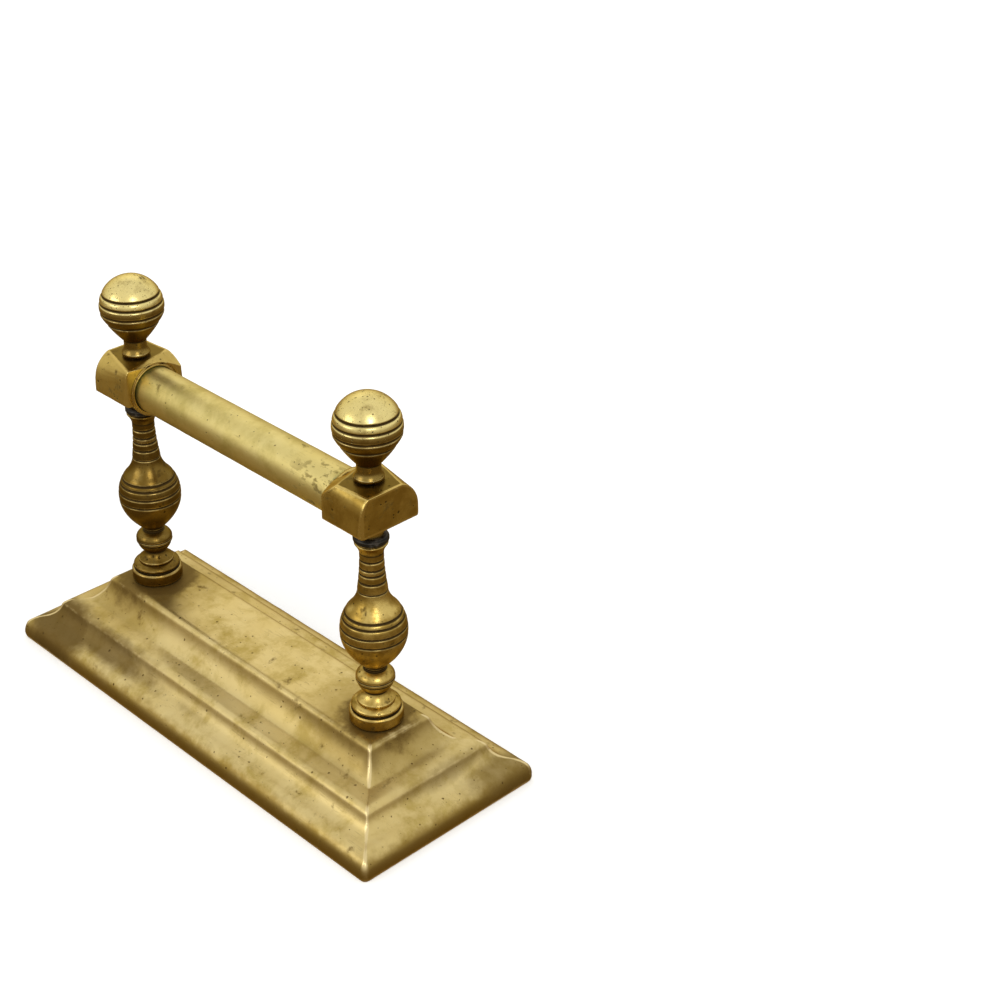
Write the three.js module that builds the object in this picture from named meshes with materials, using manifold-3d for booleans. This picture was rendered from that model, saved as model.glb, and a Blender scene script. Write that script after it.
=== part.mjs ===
// Brass andiron: a low fire dog with a stepped, hollow-cast base, two turned baluster posts and a
// round rest bar held between two socket blocks under ball finials. An iron tie rod runs up each
// post, from a nut in the base's hollow to a blind thread in the finial, and clamps the stack.
// Millimetres, +Z up, the floor at z = 0, the origin under the middle of the base, X along the bar.

import * as THREE from 'three';
import { mergeVertices } from 'three/addons/utils/BufferGeometryUtils.js';
import Module from 'manifold-3d';

// ---------------------------------------------------------------- stepped base
const BASE_LENGTH = 280;
const BASE_WIDTH = 110;
const FOOT_RELIEF = 1;
const BULLNOSE_SPRING = 3;
const BULLNOSE_DEPTH = 7.4;
const BULLNOSE_HEIGHT = 12.5;
const BULLNOSE_BULGE = 2.1;
const LOWER_COVE_DEPTH = 9.8;
const LOWER_COVE_RISE = 9.6;
const LOWER_COVE_HOLLOW = 1.3;
const LEDGE_DEPTH = 10.3;
const LEDGE_RISE = 2.5;
const UPPER_COVE_DEPTH = 8.3;
const UPPER_COVE_RISE = 11.6;
const UPPER_COVE_HOLLOW = 1.2;
const PLATEAU_EDGE_DEPTH = 3;
const PLATEAU_EDGE_RISE = 2.2;
const PLATEAU_EDGE_BULGE = 0.5;
const CORNER_RADIUS = 3.5;
const MITRE_RADIUS = 0.5;
const BASE_WALL = 3.5;
const RIM_WIDTH = 6.5;
const CAVITY_CORNER_RADIUS = 2;

// ---------------------------------------------------------------- the stack on each post's axis
const POST_INSET = 52.5;
const SEAT_GAP = 0.3;
const ROD_RADIUS = 2.5;
const ROD_CLEARANCE = 0.3;

// ---------------------------------------------------------------- foot collar
const FOOT_RING_RADIUS = 13.1;
const FOOT_RING_HEIGHT = 6.3;
const FOOT_RING_CHAMFER = 0.7;
const FOOT_GROOVE_RADIUS = 11.1;
const FOOT_GROOVE_HEIGHT = 0.6;
const FOOT_BEAD_RADIUS = 11.9;
const FOOT_BEAD_HEIGHT = 3.4;
const FOOT_SEAT_RADIUS = 9.4;

// ---------------------------------------------------------------- baluster post
const CONE_RADIUS = 9.2;
const CONE_LIP_HEIGHT = 0.9;
const CONE_HEIGHT = 5.9;
const CONE_HOLLOW = 0.9;
const CONE_NECK_RADIUS = 5.5;
const KNOP_CUP_RADIUS = 8.8;
const KNOP_CUP_HEIGHT = 5.4;
const KNOP_BAND_RADIUS = 9.4;
const KNOP_BAND_HEIGHT = 2;
const KNOP_DOME_HEIGHT = 4.6;
const WAIST_RADIUS = 4.9;
const WAIST_HEIGHT = 0.9;
const WAIST_BEAD_RADIUS = 5.4;
const WAIST_BEAD_HEIGHT = 0.8;
const VASE_RADIUS = 16;
const VASE_FOOT_RADIUS = 5.2;
const VASE_LOWER_HEIGHT = 20.4;
const VASE_LOWER_BULGE = 3;
const VASE_UPPER_HEIGHT = 11.8;
const VASE_SHOULDER_RADIUS = 12.1;
const SHOULDER_HEIGHT = 9;
const SHOULDER_HOLLOW = 0.8;
const NECK_RADIUS = 7.2;
const NECK_TOP_RADIUS = 5.7;
const NECK_HEIGHT = 20;
const NECK_HOLLOW = 0.35;
const LIP_RADIUS = 7.9;
const LIP_HEIGHT = 5.6;
const LIP_HOLLOW = 0.35;

// Scribed lines: how far above the piece's widest or lowest line each one lies.
const SCRIBE_WIDTH = 0.9;
const SCRIBE_DEPTH = 0.45;
const VASE_SCRIBES = [-2.1, 2.6, 7, 9.6];
const NECK_SCRIBES = [5.6, 9.7, 12.6, 16.9];
const FINIAL_SCRIBES = [-7.6, -2, 2.9, 6.9];

// ---------------------------------------------------------------- iron washer under each block
const WASHER_RADIUS = 8.5;
const WASHER_HEIGHT = 4.2;
const WASHER_ROUNDING = 1.3;

// ---------------------------------------------------------------- socket block
const BLOCK_LENGTH = 28;
const BLOCK_WIDTH = 35.5;
const BLOCK_HEIGHT = 19.6;
const BLOCK_LEAN = 0.8;
const BLOCK_TOP_AT_BAR = 30;
const BLOCK_TOP_AT_END = 20;
const BLOCK_SHOULDER_AT_BAR = 6;
const BLOCK_SHOULDER_AT_END = 10;
const BLOCK_SHOULDER_FULLNESS = 0.55;
const BLOCK_LOWER_ROUNDING = 2;
const BLOCK_CORNER_RADIUS = 3.5;
const BOSS_RADIUS = 6;
const BOSS_HEIGHT = 8.6;
const BAR_AXIS_DEPTH = 15.2;
const SOCKET_DEPTH = 4.4;
const SOCKET_CLEARANCE = 0.3;
const SOCKET_WALL = 1.4;
const SOCKET_COLLAR_LENGTH = 5;
const SOCKET_BEAD_WIDTH = 0.7;
const SOCKET_GROOVE_WIDTH = 1.1;
const SOCKET_GROOVE_DEPTH = 0.8;

// ---------------------------------------------------------------- rest bar
const BAR_RADIUS = 12;
const BAR_WALL = 1.5;
const BAR_END_GAP = 0.3;

// ---------------------------------------------------------------- ball finial
const FLANGE_RADIUS = 7.1;
const FLANGE_LIP_HEIGHT = 1.1;
const FLANGE_COVE_HEIGHT = 3.9;
const FLANGE_COVE_HOLLOW = 0.45;
const FINIAL_NECK_RADIUS = 5.7;
const FINIAL_NECK_HEIGHT = 3.3;
const FINIAL_RIDGE_RADIUS = 6.4;
const PEAR_HEIGHT = 13.4;
const PEAR_BULGE = 0.6;
const BALL_RADIUS = 16;
const BALL_JOIN_DROP = 3.7;
const THREAD_DEPTH = 14;
const THREAD_END_GAP = 0.6;

// ---------------------------------------------------------------- fastening inside the base
const UNDER_WASHER_RADIUS = 7.5;
const UNDER_WASHER_HEIGHT = 1.5;
const NUT_ACROSS_FLATS = 10;
const NUT_SIDES = 6;
const NUT_HEIGHT = 5;
const ROD_TAIL = 3;

// ---------------------------------------------------------------- how finely round forms are cut
const TURNED_SIDES = 24;
const SMALL_SIDES = 16;
const BAR_SIDES = 40;
const CORNER_STEPS = 2;
const SHORT_CURVE_STEPS = 3;
const CURVE_STEPS = 4;
const LONG_CURVE_STEPS = 9;
const CROWN_ANGLE = Math.PI / 5;
const CUT_OVERRUN = 0.3;
const JOINING_DISTANCE = 1e-4;

const wasm = await Module();
wasm.setup();

const BASE_HEIGHT =
  BULLNOSE_HEIGHT + LOWER_COVE_RISE + LEDGE_RISE + UPPER_COVE_RISE + PLATEAU_EDGE_RISE;
const POST_SPACING = BASE_LENGTH - 2 * POST_INSET;
const BORE_RADIUS = ROD_RADIUS + ROD_CLEARANCE;
const SCRIBE_HALF = SCRIBE_WIDTH / 2;

const paleBrass = { color: 0xcdb878, roughness: 0.34, metalness: 1 };
const brownBrass = { color: 0x9c7f43, roughness: 0.36, metalness: 1 };
const greenBrass = { color: 0xc9b76a, roughness: 0.38, metalness: 1 };
const blackIron = { color: 0x1d1b18, roughness: 0.42, metalness: 0.9 };
const rustyIron = { color: 0x4a4038, roughness: 0.7, metalness: 0.8 };

// ---------------------------------------------------------------- helpers: solids

// Joins equal corners and drops triangles without area, so that a surface closes on itself.
function closedSurface(geometry) {
  const bare = geometry.clone();
  bare.deleteAttribute('normal');
  bare.deleteAttribute('uv');
  const merged = mergeVertices(bare, JOINING_DISTANCE);
  const corners = merged.index.array;
  const kept = [];
  for (let i = 0; i < corners.length; i += 3) {
    const [a, b, c] = corners.slice(i, i + 3);
    if (a !== b && b !== c && c !== a) kept.push(a, b, c);
  }
  merged.setIndex(kept);
  return merged;
}

function toManifold(geometry) {
  const surface = closedSurface(geometry);
  return new wasm.Manifold(new wasm.Mesh({
    numProp: 3,
    vertProperties: new Float32Array(surface.attributes.position.array),
    triVerts: new Uint32Array(surface.index.array),
  }));
}

function toGeometry(manifold) {
  const mesh = manifold.getMesh();
  const geometry = new THREE.BufferGeometry();
  geometry.setAttribute('position', new THREE.BufferAttribute(mesh.vertProperties, 3));
  geometry.setIndex(new THREE.BufferAttribute(mesh.triVerts, 1));
  geometry.computeVertexNormals();
  return geometry;
}

// A closed solid turned about +Z from an outline of (radius, height) points, drawn upwards outside.
function turned(outline, sides) {
  const geometry = closedSurface(new THREE.LatheGeometry(outline, sides));
  geometry.rotateX(Math.PI / 2);
  geometry.computeVertexNormals();
  return geometry;
}

// A round rod along +Z between two heights.
function uprightRod(radius, bottom, top, sides) {
  const rod = new THREE.CylinderGeometry(radius, radius, top - bottom, sides);
  rod.rotateX(Math.PI / 2);
  rod.translate(0, 0, (bottom + top) / 2);
  return rod;
}

// A round rod along +X, centred at a height, between two places on X.
function levelRod(radius, from, to, height) {
  const rod = new THREE.CylinderGeometry(radius, radius, to - from, BAR_SIDES);
  rod.rotateZ(Math.PI / 2);
  rod.translate((from + to) / 2, 0, height);
  return rod;
}

// ---------------------------------------------------------------- helpers: outlines

const at = (radius, height) => new THREE.Vector2(radius, height);

// A run from one radius to another, bowed out (or, below zero, in) by bulge halfway along.
function bowed(fromRadius, fromHeight, toRadius, toHeight, bulge) {
  return (height) => {
    const t = (height - fromHeight) / (toHeight - fromHeight);
    return fromRadius + (toRadius - fromRadius) * t + bulge * 4 * t * (1 - t);
  };
}

// Part of an ellipse: full radius at its centre height, another radius at a second height.
function domed(fullRadius, centre, otherRadius, otherHeight) {
  const share = Math.sqrt(1 - (otherRadius / fullRadius) ** 2);
  const reach = Math.abs(otherHeight - centre) / share;
  return (height) => fullRadius * Math.sqrt(Math.max(0, 1 - ((height - centre) / reach) ** 2));
}

// Points along a turned run, with a scribed line cut into it at each height in scribes.
function run(radiusAt, bottom, top, steps, scribes = []) {
  const marks = [];
  for (let i = 0; i <= steps; i += 1) {
    const height = bottom + ((top - bottom) * i) / steps;
    const clear = scribes.every((scribe) => Math.abs(scribe - height) > SCRIBE_WIDTH);
    if (clear || i === 0 || i === steps) marks.push({ height, radius: radiusAt(height) });
  }
  for (const scribe of scribes) {
    marks.push({ height: scribe - SCRIBE_HALF, radius: radiusAt(scribe - SCRIBE_HALF) });
    marks.push({ height: scribe, radius: radiusAt(scribe) - SCRIBE_DEPTH });
    marks.push({ height: scribe + SCRIBE_HALF, radius: radiusAt(scribe + SCRIBE_HALF) });
  }
  marks.sort((a, b) => a.height - b.height);
  return marks.map((mark) => at(mark.radius, mark.height));
}

// ---------------------------------------------------------------- stepped base

// The moulding from the floor to the plateau as (inset from the outer line, height) points.
function baseMoulding() {
  const points = [at(FOOT_RELIEF, 0), at(0, BULLNOSE_SPRING)];
  const bend = (depth, rise, bulge, steps) => {
    const from = points[points.length - 1];
    const length = Math.hypot(depth, rise);
    for (let i = 1; i <= steps; i += 1) {
      const t = i / steps;
      const swell = (bulge * 4 * t * (1 - t)) / length;
      points.push(at(from.x + depth * t - rise * swell, from.y + rise * t + depth * swell));
    }
  };
  bend(BULLNOSE_DEPTH, BULLNOSE_HEIGHT - BULLNOSE_SPRING, BULLNOSE_BULGE, CURVE_STEPS);
  bend(LOWER_COVE_DEPTH, LOWER_COVE_RISE, -LOWER_COVE_HOLLOW, CURVE_STEPS);
  bend(LEDGE_DEPTH, LEDGE_RISE, 0, 1);
  bend(UPPER_COVE_DEPTH, UPPER_COVE_RISE, -UPPER_COVE_HOLLOW, CURVE_STEPS);
  bend(PLATEAU_EDGE_DEPTH, PLATEAU_EDGE_RISE, PLATEAU_EDGE_BULGE, SHORT_CURVE_STEPS);
  return points;
}

// The hollow's steps follow the moulding's creases, one wall further in and further down.
function baseHollow() {
  const ledgeFront = BULLNOSE_DEPTH + LOWER_COVE_DEPTH;
  const ledgeHeight = BULLNOSE_HEIGHT + LOWER_COVE_RISE;
  const ledgeBack = ledgeFront + LEDGE_DEPTH;
  const plateauInset = ledgeBack + UPPER_COVE_DEPTH + PLATEAU_EDGE_DEPTH;
  return [
    at(RIM_WIDTH, -BASE_WALL),
    at(RIM_WIDTH, 0),
    at(BULLNOSE_DEPTH + BASE_WALL, BULLNOSE_HEIGHT - BASE_WALL),
    at(ledgeFront + BASE_WALL, ledgeHeight - BASE_WALL),
    at(ledgeBack + BASE_WALL, ledgeHeight + LEDGE_RISE - BASE_WALL),
    at(plateauInset + BASE_WALL, BASE_HEIGHT - BASE_WALL),
  ];
}

// A solid whose level sections are round-cornered rectangles, one for each (inset, height) step.
function steppedSolid(steps, cornerRadiusAt) {
  const positions = [];
  const corners = [[1, 1], [-1, 1], [-1, -1], [1, -1]];
  for (const step of steps) {
    const radius = cornerRadiusAt(step.x);
    const centreX = BASE_LENGTH / 2 - step.x - radius;
    const centreY = BASE_WIDTH / 2 - step.x - radius;
    corners.forEach(([signX, signY], quarter) => {
      for (let i = 0; i <= CORNER_STEPS; i += 1) {
        const angle = (quarter + i / CORNER_STEPS) * (Math.PI / 2);
        positions.push(signX * centreX + radius * Math.cos(angle));
        positions.push(signY * centreY + radius * Math.sin(angle), step.y);
      }
    });
  }
  const count = corners.length * (CORNER_STEPS + 1);
  const last = (steps.length - 1) * count;
  const index = [];
  for (let level = 0; level < steps.length - 1; level += 1) {
    for (let i = 0; i < count; i += 1) {
      const a = level * count + i;
      const b = level * count + ((i + 1) % count);
      index.push(a, b, b + count, a, b + count, a + count);
    }
  }
  for (let i = 1; i < count - 1; i += 1) {
    index.push(0, i + 1, i);
    index.push(last, last + i, last + i + 1);
  }
  const geometry = new THREE.BufferGeometry();
  geometry.setAttribute('position', new THREE.Float32BufferAttribute(positions, 3));
  geometry.setIndex(index);
  return geometry;
}

function baseGeometry() {
  const outside = (inset) => Math.max(MITRE_RADIUS, CORNER_RADIUS - inset);
  let base = toManifold(steppedSolid(baseMoulding(), outside));
  base = base.subtract(toManifold(steppedSolid(baseHollow(), () => CAVITY_CORNER_RADIUS)));
  for (const side of [1, -1]) {
    const hole = uprightRod(BORE_RADIUS, 0, BASE_HEIGHT + CUT_OVERRUN, TURNED_SIDES);
    hole.translate((side * POST_SPACING) / 2, 0, 0);
    base = base.subtract(toManifold(hole));
  }
  return toGeometry(base);
}

// ---------------------------------------------------------------- turned pieces, from z = 0 up

const FOOT_HEIGHT = FOOT_RING_HEIGHT + FOOT_GROOVE_HEIGHT + FOOT_BEAD_HEIGHT;

function footCollarGeometry() {
  const beadBottom = FOOT_RING_HEIGHT + FOOT_GROOVE_HEIGHT;
  const beadBulge = FOOT_BEAD_RADIUS - (FOOT_GROOVE_RADIUS + FOOT_SEAT_RADIUS) / 2;
  const bead = bowed(FOOT_GROOVE_RADIUS, beadBottom, FOOT_SEAT_RADIUS, FOOT_HEIGHT, beadBulge);
  return turned([
    at(BORE_RADIUS, 0),
    at(FOOT_RING_RADIUS - FOOT_RING_CHAMFER / 2, 0),
    at(FOOT_RING_RADIUS, FOOT_RING_CHAMFER),
    at(FOOT_RING_RADIUS, FOOT_RING_HEIGHT - FOOT_RING_CHAMFER),
    at(FOOT_RING_RADIUS - FOOT_RING_CHAMFER, FOOT_RING_HEIGHT),
    at(FOOT_GROOVE_RADIUS, FOOT_RING_HEIGHT),
    ...run(bead, beadBottom, FOOT_HEIGHT, CURVE_STEPS),
    at(BORE_RADIUS, FOOT_HEIGHT),
    at(BORE_RADIUS, 0),
  ], TURNED_SIDES);
}

// Heights of the post's sections above its own bottom face.
const KNOP_BOTTOM = CONE_HEIGHT;
const KNOP_BAND_BOTTOM = KNOP_BOTTOM + KNOP_CUP_HEIGHT;
const KNOP_BAND_TOP = KNOP_BAND_BOTTOM + KNOP_BAND_HEIGHT;
const WAIST_BOTTOM = KNOP_BAND_TOP + KNOP_DOME_HEIGHT;
const WAIST_BEAD_BOTTOM = WAIST_BOTTOM + WAIST_HEIGHT;
const VASE_BOTTOM = WAIST_BEAD_BOTTOM + WAIST_BEAD_HEIGHT;
const VASE_MIDDLE = VASE_BOTTOM + VASE_LOWER_HEIGHT;
const SHOULDER_BOTTOM = VASE_MIDDLE + VASE_UPPER_HEIGHT;
const NECK_BOTTOM = SHOULDER_BOTTOM + SHOULDER_HEIGHT;
const LIP_BOTTOM = NECK_BOTTOM + NECK_HEIGHT;
const POST_HEIGHT = LIP_BOTTOM + LIP_HEIGHT;

function postGeometry() {
  const cone = bowed(CONE_RADIUS, CONE_LIP_HEIGHT, CONE_NECK_RADIUS, CONE_HEIGHT, -CONE_HOLLOW);
  const cup = domed(KNOP_CUP_RADIUS, KNOP_BAND_BOTTOM, CONE_NECK_RADIUS, KNOP_BOTTOM);
  const dome = domed(KNOP_BAND_RADIUS, KNOP_BAND_TOP, WAIST_RADIUS, WAIST_BOTTOM);
  const vaseBelow = bowed(
    VASE_FOOT_RADIUS, VASE_BOTTOM, VASE_RADIUS, VASE_MIDDLE, VASE_LOWER_BULGE);
  const vaseAbove = domed(VASE_RADIUS, VASE_MIDDLE, VASE_SHOULDER_RADIUS, SHOULDER_BOTTOM);
  const vase = (height) => (height < VASE_MIDDLE ? vaseBelow(height) : vaseAbove(height));
  const shoulderFoot = VASE_SHOULDER_RADIUS - SCRIBE_DEPTH;
  const shoulder = bowed(
    shoulderFoot, SHOULDER_BOTTOM + SCRIBE_HALF, NECK_RADIUS, NECK_BOTTOM, -SHOULDER_HOLLOW);
  const neck = bowed(NECK_RADIUS, NECK_BOTTOM, NECK_TOP_RADIUS, LIP_BOTTOM, -NECK_HOLLOW);
  const lip = bowed(NECK_TOP_RADIUS, LIP_BOTTOM, LIP_RADIUS, POST_HEIGHT, -LIP_HOLLOW);
  const vaseScribes = VASE_SCRIBES.map((height) => VASE_MIDDLE + height);
  const neckScribes = NECK_SCRIBES.map((height) => NECK_BOTTOM + height);
  return turned([
    at(BORE_RADIUS, 0),
    at(CONE_RADIUS, 0),
    ...run(cone, CONE_LIP_HEIGHT, CONE_HEIGHT, SHORT_CURVE_STEPS),
    ...run(cup, KNOP_BOTTOM + SCRIBE_HALF, KNOP_BAND_BOTTOM, CURVE_STEPS),
    at(KNOP_BAND_RADIUS, KNOP_BAND_BOTTOM + SCRIBE_HALF),
    at(KNOP_BAND_RADIUS, KNOP_BAND_TOP - SCRIBE_WIDTH),
    at(KNOP_BAND_RADIUS - SCRIBE_DEPTH, KNOP_BAND_TOP - SCRIBE_HALF),
    ...run(dome, KNOP_BAND_TOP, WAIST_BOTTOM, CURVE_STEPS),
    at(WAIST_RADIUS, WAIST_BEAD_BOTTOM),
    at(WAIST_BEAD_RADIUS, WAIST_BEAD_BOTTOM + WAIST_BEAD_HEIGHT / 2),
    ...run(vase, VASE_BOTTOM, SHOULDER_BOTTOM, LONG_CURVE_STEPS, vaseScribes),
    ...run(shoulder, SHOULDER_BOTTOM + SCRIBE_HALF, NECK_BOTTOM, CURVE_STEPS),
    at(NECK_RADIUS - SCRIBE_DEPTH, NECK_BOTTOM + SCRIBE_HALF),
    ...run(neck, NECK_BOTTOM + SCRIBE_WIDTH, LIP_BOTTOM, 1, neckScribes),
    ...run(lip, LIP_BOTTOM + SCRIBE_WIDTH, POST_HEIGHT, SHORT_CURVE_STEPS),
    at(BORE_RADIUS, POST_HEIGHT),
    at(BORE_RADIUS, 0),
  ], TURNED_SIDES);
}

function washerGeometry() {
  const edge = WASHER_RADIUS - WASHER_ROUNDING;
  const round = bowed(edge, 0, edge, WASHER_HEIGHT, WASHER_ROUNDING);
  return turned([
    at(BORE_RADIUS, 0),
    ...run(round, 0, WASHER_HEIGHT, CURVE_STEPS),
    at(BORE_RADIUS, WASHER_HEIGHT),
    at(BORE_RADIUS, 0),
  ], TURNED_SIDES);
}

const FINIAL_NECK_BOTTOM = FLANGE_LIP_HEIGHT + FLANGE_COVE_HEIGHT;
const PEAR_BOTTOM = FINIAL_NECK_BOTTOM + FINIAL_NECK_HEIGHT;
const BALL_MIDDLE = PEAR_BOTTOM + PEAR_HEIGHT + BALL_JOIN_DROP;
const FINIAL_HEIGHT = BALL_MIDDLE + BALL_RADIUS;

function finialGeometry() {
  const pearTop = PEAR_BOTTOM + PEAR_HEIGHT;
  const pearTopRadius = Math.sqrt(BALL_RADIUS ** 2 - BALL_JOIN_DROP ** 2);
  const cove = bowed(
    FLANGE_RADIUS, FLANGE_LIP_HEIGHT, FINIAL_NECK_RADIUS, FINIAL_NECK_BOTTOM, -FLANGE_COVE_HOLLOW);
  const pear = bowed(FINIAL_RIDGE_RADIUS, PEAR_BOTTOM, pearTopRadius, pearTop, PEAR_BULGE);
  const ball = (height) => Math.sqrt(Math.max(0, BALL_RADIUS ** 2 - (height - BALL_MIDDLE) ** 2));
  const form = (height) => (height < pearTop ? pear(height) : ball(height));
  const scribes = FINIAL_SCRIBES.map((height) => BALL_MIDDLE + height);
  const crownFrom = BALL_MIDDLE + BALL_RADIUS * Math.sin(CROWN_ANGLE);
  const crown = [];
  for (let i = 1; i <= CURVE_STEPS; i += 1) {
    const angle = CROWN_ANGLE + ((Math.PI / 2 - CROWN_ANGLE) * i) / CURVE_STEPS;
    const radius = i === CURVE_STEPS ? 0 : BALL_RADIUS * Math.cos(angle);
    crown.push(at(radius, BALL_MIDDLE + BALL_RADIUS * Math.sin(angle)));
  }
  return turned([
    at(0, THREAD_DEPTH),
    at(BORE_RADIUS, THREAD_DEPTH),
    at(BORE_RADIUS, 0),
    at(FLANGE_RADIUS, 0),
    ...run(cove, FLANGE_LIP_HEIGHT, FINIAL_NECK_BOTTOM, SHORT_CURVE_STEPS),
    at(FINIAL_NECK_RADIUS, PEAR_BOTTOM - SCRIBE_HALF),
    ...run(form, PEAR_BOTTOM, crownFrom, LONG_CURVE_STEPS, scribes),
    ...crown,
  ], TURNED_SIDES);
}

function tieRodGeometry(length) {
  return uprightRod(ROD_RADIUS, 0, length, SMALL_SIDES);
}

function underWasherGeometry() {
  return turned([
    at(BORE_RADIUS, 0),
    at(UNDER_WASHER_RADIUS, 0),
    at(UNDER_WASHER_RADIUS, UNDER_WASHER_HEIGHT),
    at(BORE_RADIUS, UNDER_WASHER_HEIGHT),
    at(BORE_RADIUS, 0),
  ], SMALL_SIDES);
}

function nutGeometry() {
  const outline = new THREE.Shape();
  const cornerRadius = NUT_ACROSS_FLATS / 2 / Math.cos(Math.PI / NUT_SIDES);
  for (let i = 0; i < NUT_SIDES; i += 1) {
    const angle = (i * 2 * Math.PI) / NUT_SIDES;
    const corner = at(cornerRadius * Math.cos(angle), cornerRadius * Math.sin(angle));
    if (i === 0) outline.moveTo(corner.x, corner.y);
    else outline.lineTo(corner.x, corner.y);
  }
  outline.closePath();
  const hole = new THREE.Path();
  hole.absarc(0, 0, BORE_RADIUS, 0, Math.PI * 2, true);
  outline.holes.push(hole);
  return new THREE.ExtrudeGeometry(outline, {
    depth: NUT_HEIGHT,
    bevelEnabled: false,
    curveSegments: SMALL_SIDES / 2,
  });
}

// ---------------------------------------------------------------- socket block

// One end of the slab as (across, up) points: sides that lean in a little, a flat top and
// shoulders that fall away between them. Both ends have the same number of points.
function blockSection(topWidth, shoulderHeight) {
  const foot = BLOCK_WIDTH / 2;
  const side = foot - BLOCK_LEAN;
  const shoulder = BLOCK_HEIGHT - shoulderHeight;
  const full = BLOCK_SHOULDER_FULLNESS;
  const bend = at(
    topWidth / 2 + (side - topWidth / 2) * (1 + full) / 2,
    shoulder + shoulderHeight * (1 + full) / 2,
  );
  const shape = new THREE.Shape();
  shape.moveTo(foot - BLOCK_LOWER_ROUNDING, 0);
  shape.quadraticCurveTo(foot, 0, foot, BLOCK_LOWER_ROUNDING);
  shape.lineTo(side, shoulder);
  shape.quadraticCurveTo(bend.x, bend.y, topWidth / 2, BLOCK_HEIGHT);
  shape.lineTo(-topWidth / 2, BLOCK_HEIGHT);
  shape.quadraticCurveTo(-bend.x, bend.y, -side, shoulder);
  shape.lineTo(-foot, BLOCK_LOWER_ROUNDING);
  shape.quadraticCurveTo(-foot, 0, BLOCK_LOWER_ROUNDING - foot, 0);
  return shape.getPoints(CURVE_STEPS);
}

// The slab as a loft between its section at the bar and its section at the outer end.
function blockSlab(from, to, bottom) {
  const atBar = blockSection(BLOCK_TOP_AT_BAR, BLOCK_SHOULDER_AT_BAR);
  const atEnd = blockSection(BLOCK_TOP_AT_END, BLOCK_SHOULDER_AT_END);
  const count = atBar.length;
  const positions = [];
  for (const point of atBar) positions.push(from, point.x, bottom + point.y);
  for (const point of atEnd) positions.push(to, point.x, bottom + point.y);
  const index = [];
  for (let i = 0; i < count; i += 1) {
    const next = (i + 1) % count;
    index.push(i, next, count + next, i, count + next, count + i);
  }
  for (let i = 1; i < count - 1; i += 1) {
    index.push(0, i + 1, i);
    index.push(count, count + i, count + i + 1);
  }
  const geometry = new THREE.BufferGeometry();
  geometry.setAttribute('position', new THREE.Float32BufferAttribute(positions, 3));
  geometry.setIndex(index);
  return geometry;
}

// The slab seen from above: a rectangle with round upright corners.
function blockPlan() {
  const halfX = BLOCK_LENGTH / 2;
  const halfY = BLOCK_WIDTH / 2;
  const r = BLOCK_CORNER_RADIUS;
  const shape = new THREE.Shape();
  shape.moveTo(halfX, r - halfY);
  shape.absarc(halfX - r, halfY - r, r, 0, Math.PI / 2);
  shape.absarc(r - halfX, halfY - r, r, Math.PI / 2, Math.PI);
  shape.absarc(r - halfX, r - halfY, r, Math.PI, 1.5 * Math.PI);
  shape.absarc(halfX - r, r - halfY, r, 1.5 * Math.PI, 2 * Math.PI);
  return shape;
}

// The block above its boss's foot, its socket opening towards -X.
function blockGeometry() {
  const top = BOSS_HEIGHT + BLOCK_HEIGHT;
  const barAxis = top - BAR_AXIS_DEPTH;
  const face = -BLOCK_LENGTH / 2;
  const boreRadius = BAR_RADIUS + SOCKET_CLEARANCE;
  const beadRadius = boreRadius + SOCKET_BEAD_WIDTH;
  const grooveRadius = beadRadius + SOCKET_GROOVE_WIDTH;
  const plan = new THREE.ExtrudeGeometry(blockPlan(), {
    depth: BLOCK_HEIGHT,
    bevelEnabled: false,
    curveSegments: CURVE_STEPS,
  });
  plan.translate(0, 0, BOSS_HEIGHT);
  const grooveFloor = face + SOCKET_GROOVE_DEPTH;
  const beadCore = levelRod(
    beadRadius, face - 2 * CUT_OVERRUN, grooveFloor + CUT_OVERRUN, barAxis);
  const groove = toManifold(levelRod(grooveRadius, face - CUT_OVERRUN, grooveFloor, barAxis))
    .subtract(toManifold(beadCore));
  const collarEnd = face + SOCKET_COLLAR_LENGTH;
  const collar = toManifold(
    levelRod(boreRadius + SOCKET_WALL, face + CUT_OVERRUN, collarEnd, barAxis));
  const socket = toManifold(
    levelRod(boreRadius, face - CUT_OVERRUN, face + SOCKET_DEPTH, barAxis));
  const boss = toManifold(uprightRod(BOSS_RADIUS, 0, BOSS_HEIGHT + CUT_OVERRUN, TURNED_SIDES));
  const rodHole = toManifold(uprightRod(
    BORE_RADIUS, -CUT_OVERRUN, top + CUT_OVERRUN, TURNED_SIDES));
  const block = toManifold(blockSlab(face, -face, BOSS_HEIGHT))
    .intersect(toManifold(plan))
    .add(collar)
    .add(boss)
    .subtract(groove)
    .subtract(socket)
    .subtract(rodHole);
  return toGeometry(block);
}

function barGeometry() {
  const bareEnd = BLOCK_LENGTH / 2 - SOCKET_DEPTH + BAR_END_GAP;
  const half = POST_SPACING / 2 - bareEnd;
  const bore = BAR_RADIUS - BAR_WALL;
  const tube = turned([
    at(bore, -half),
    at(BAR_RADIUS, -half),
    at(BAR_RADIUS, half),
    at(bore, half),
    at(bore, -half),
  ], BAR_SIDES);
  tube.rotateY(Math.PI / 2);
  return tube;
}

// ---------------------------------------------------------------- assembly

function piece(name, geometry, finish, height) {
  const mesh = new THREE.Mesh(geometry, new THREE.MeshStandardMaterial(finish));
  mesh.name = name;
  mesh.position.z = height;
  return mesh;
}

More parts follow.
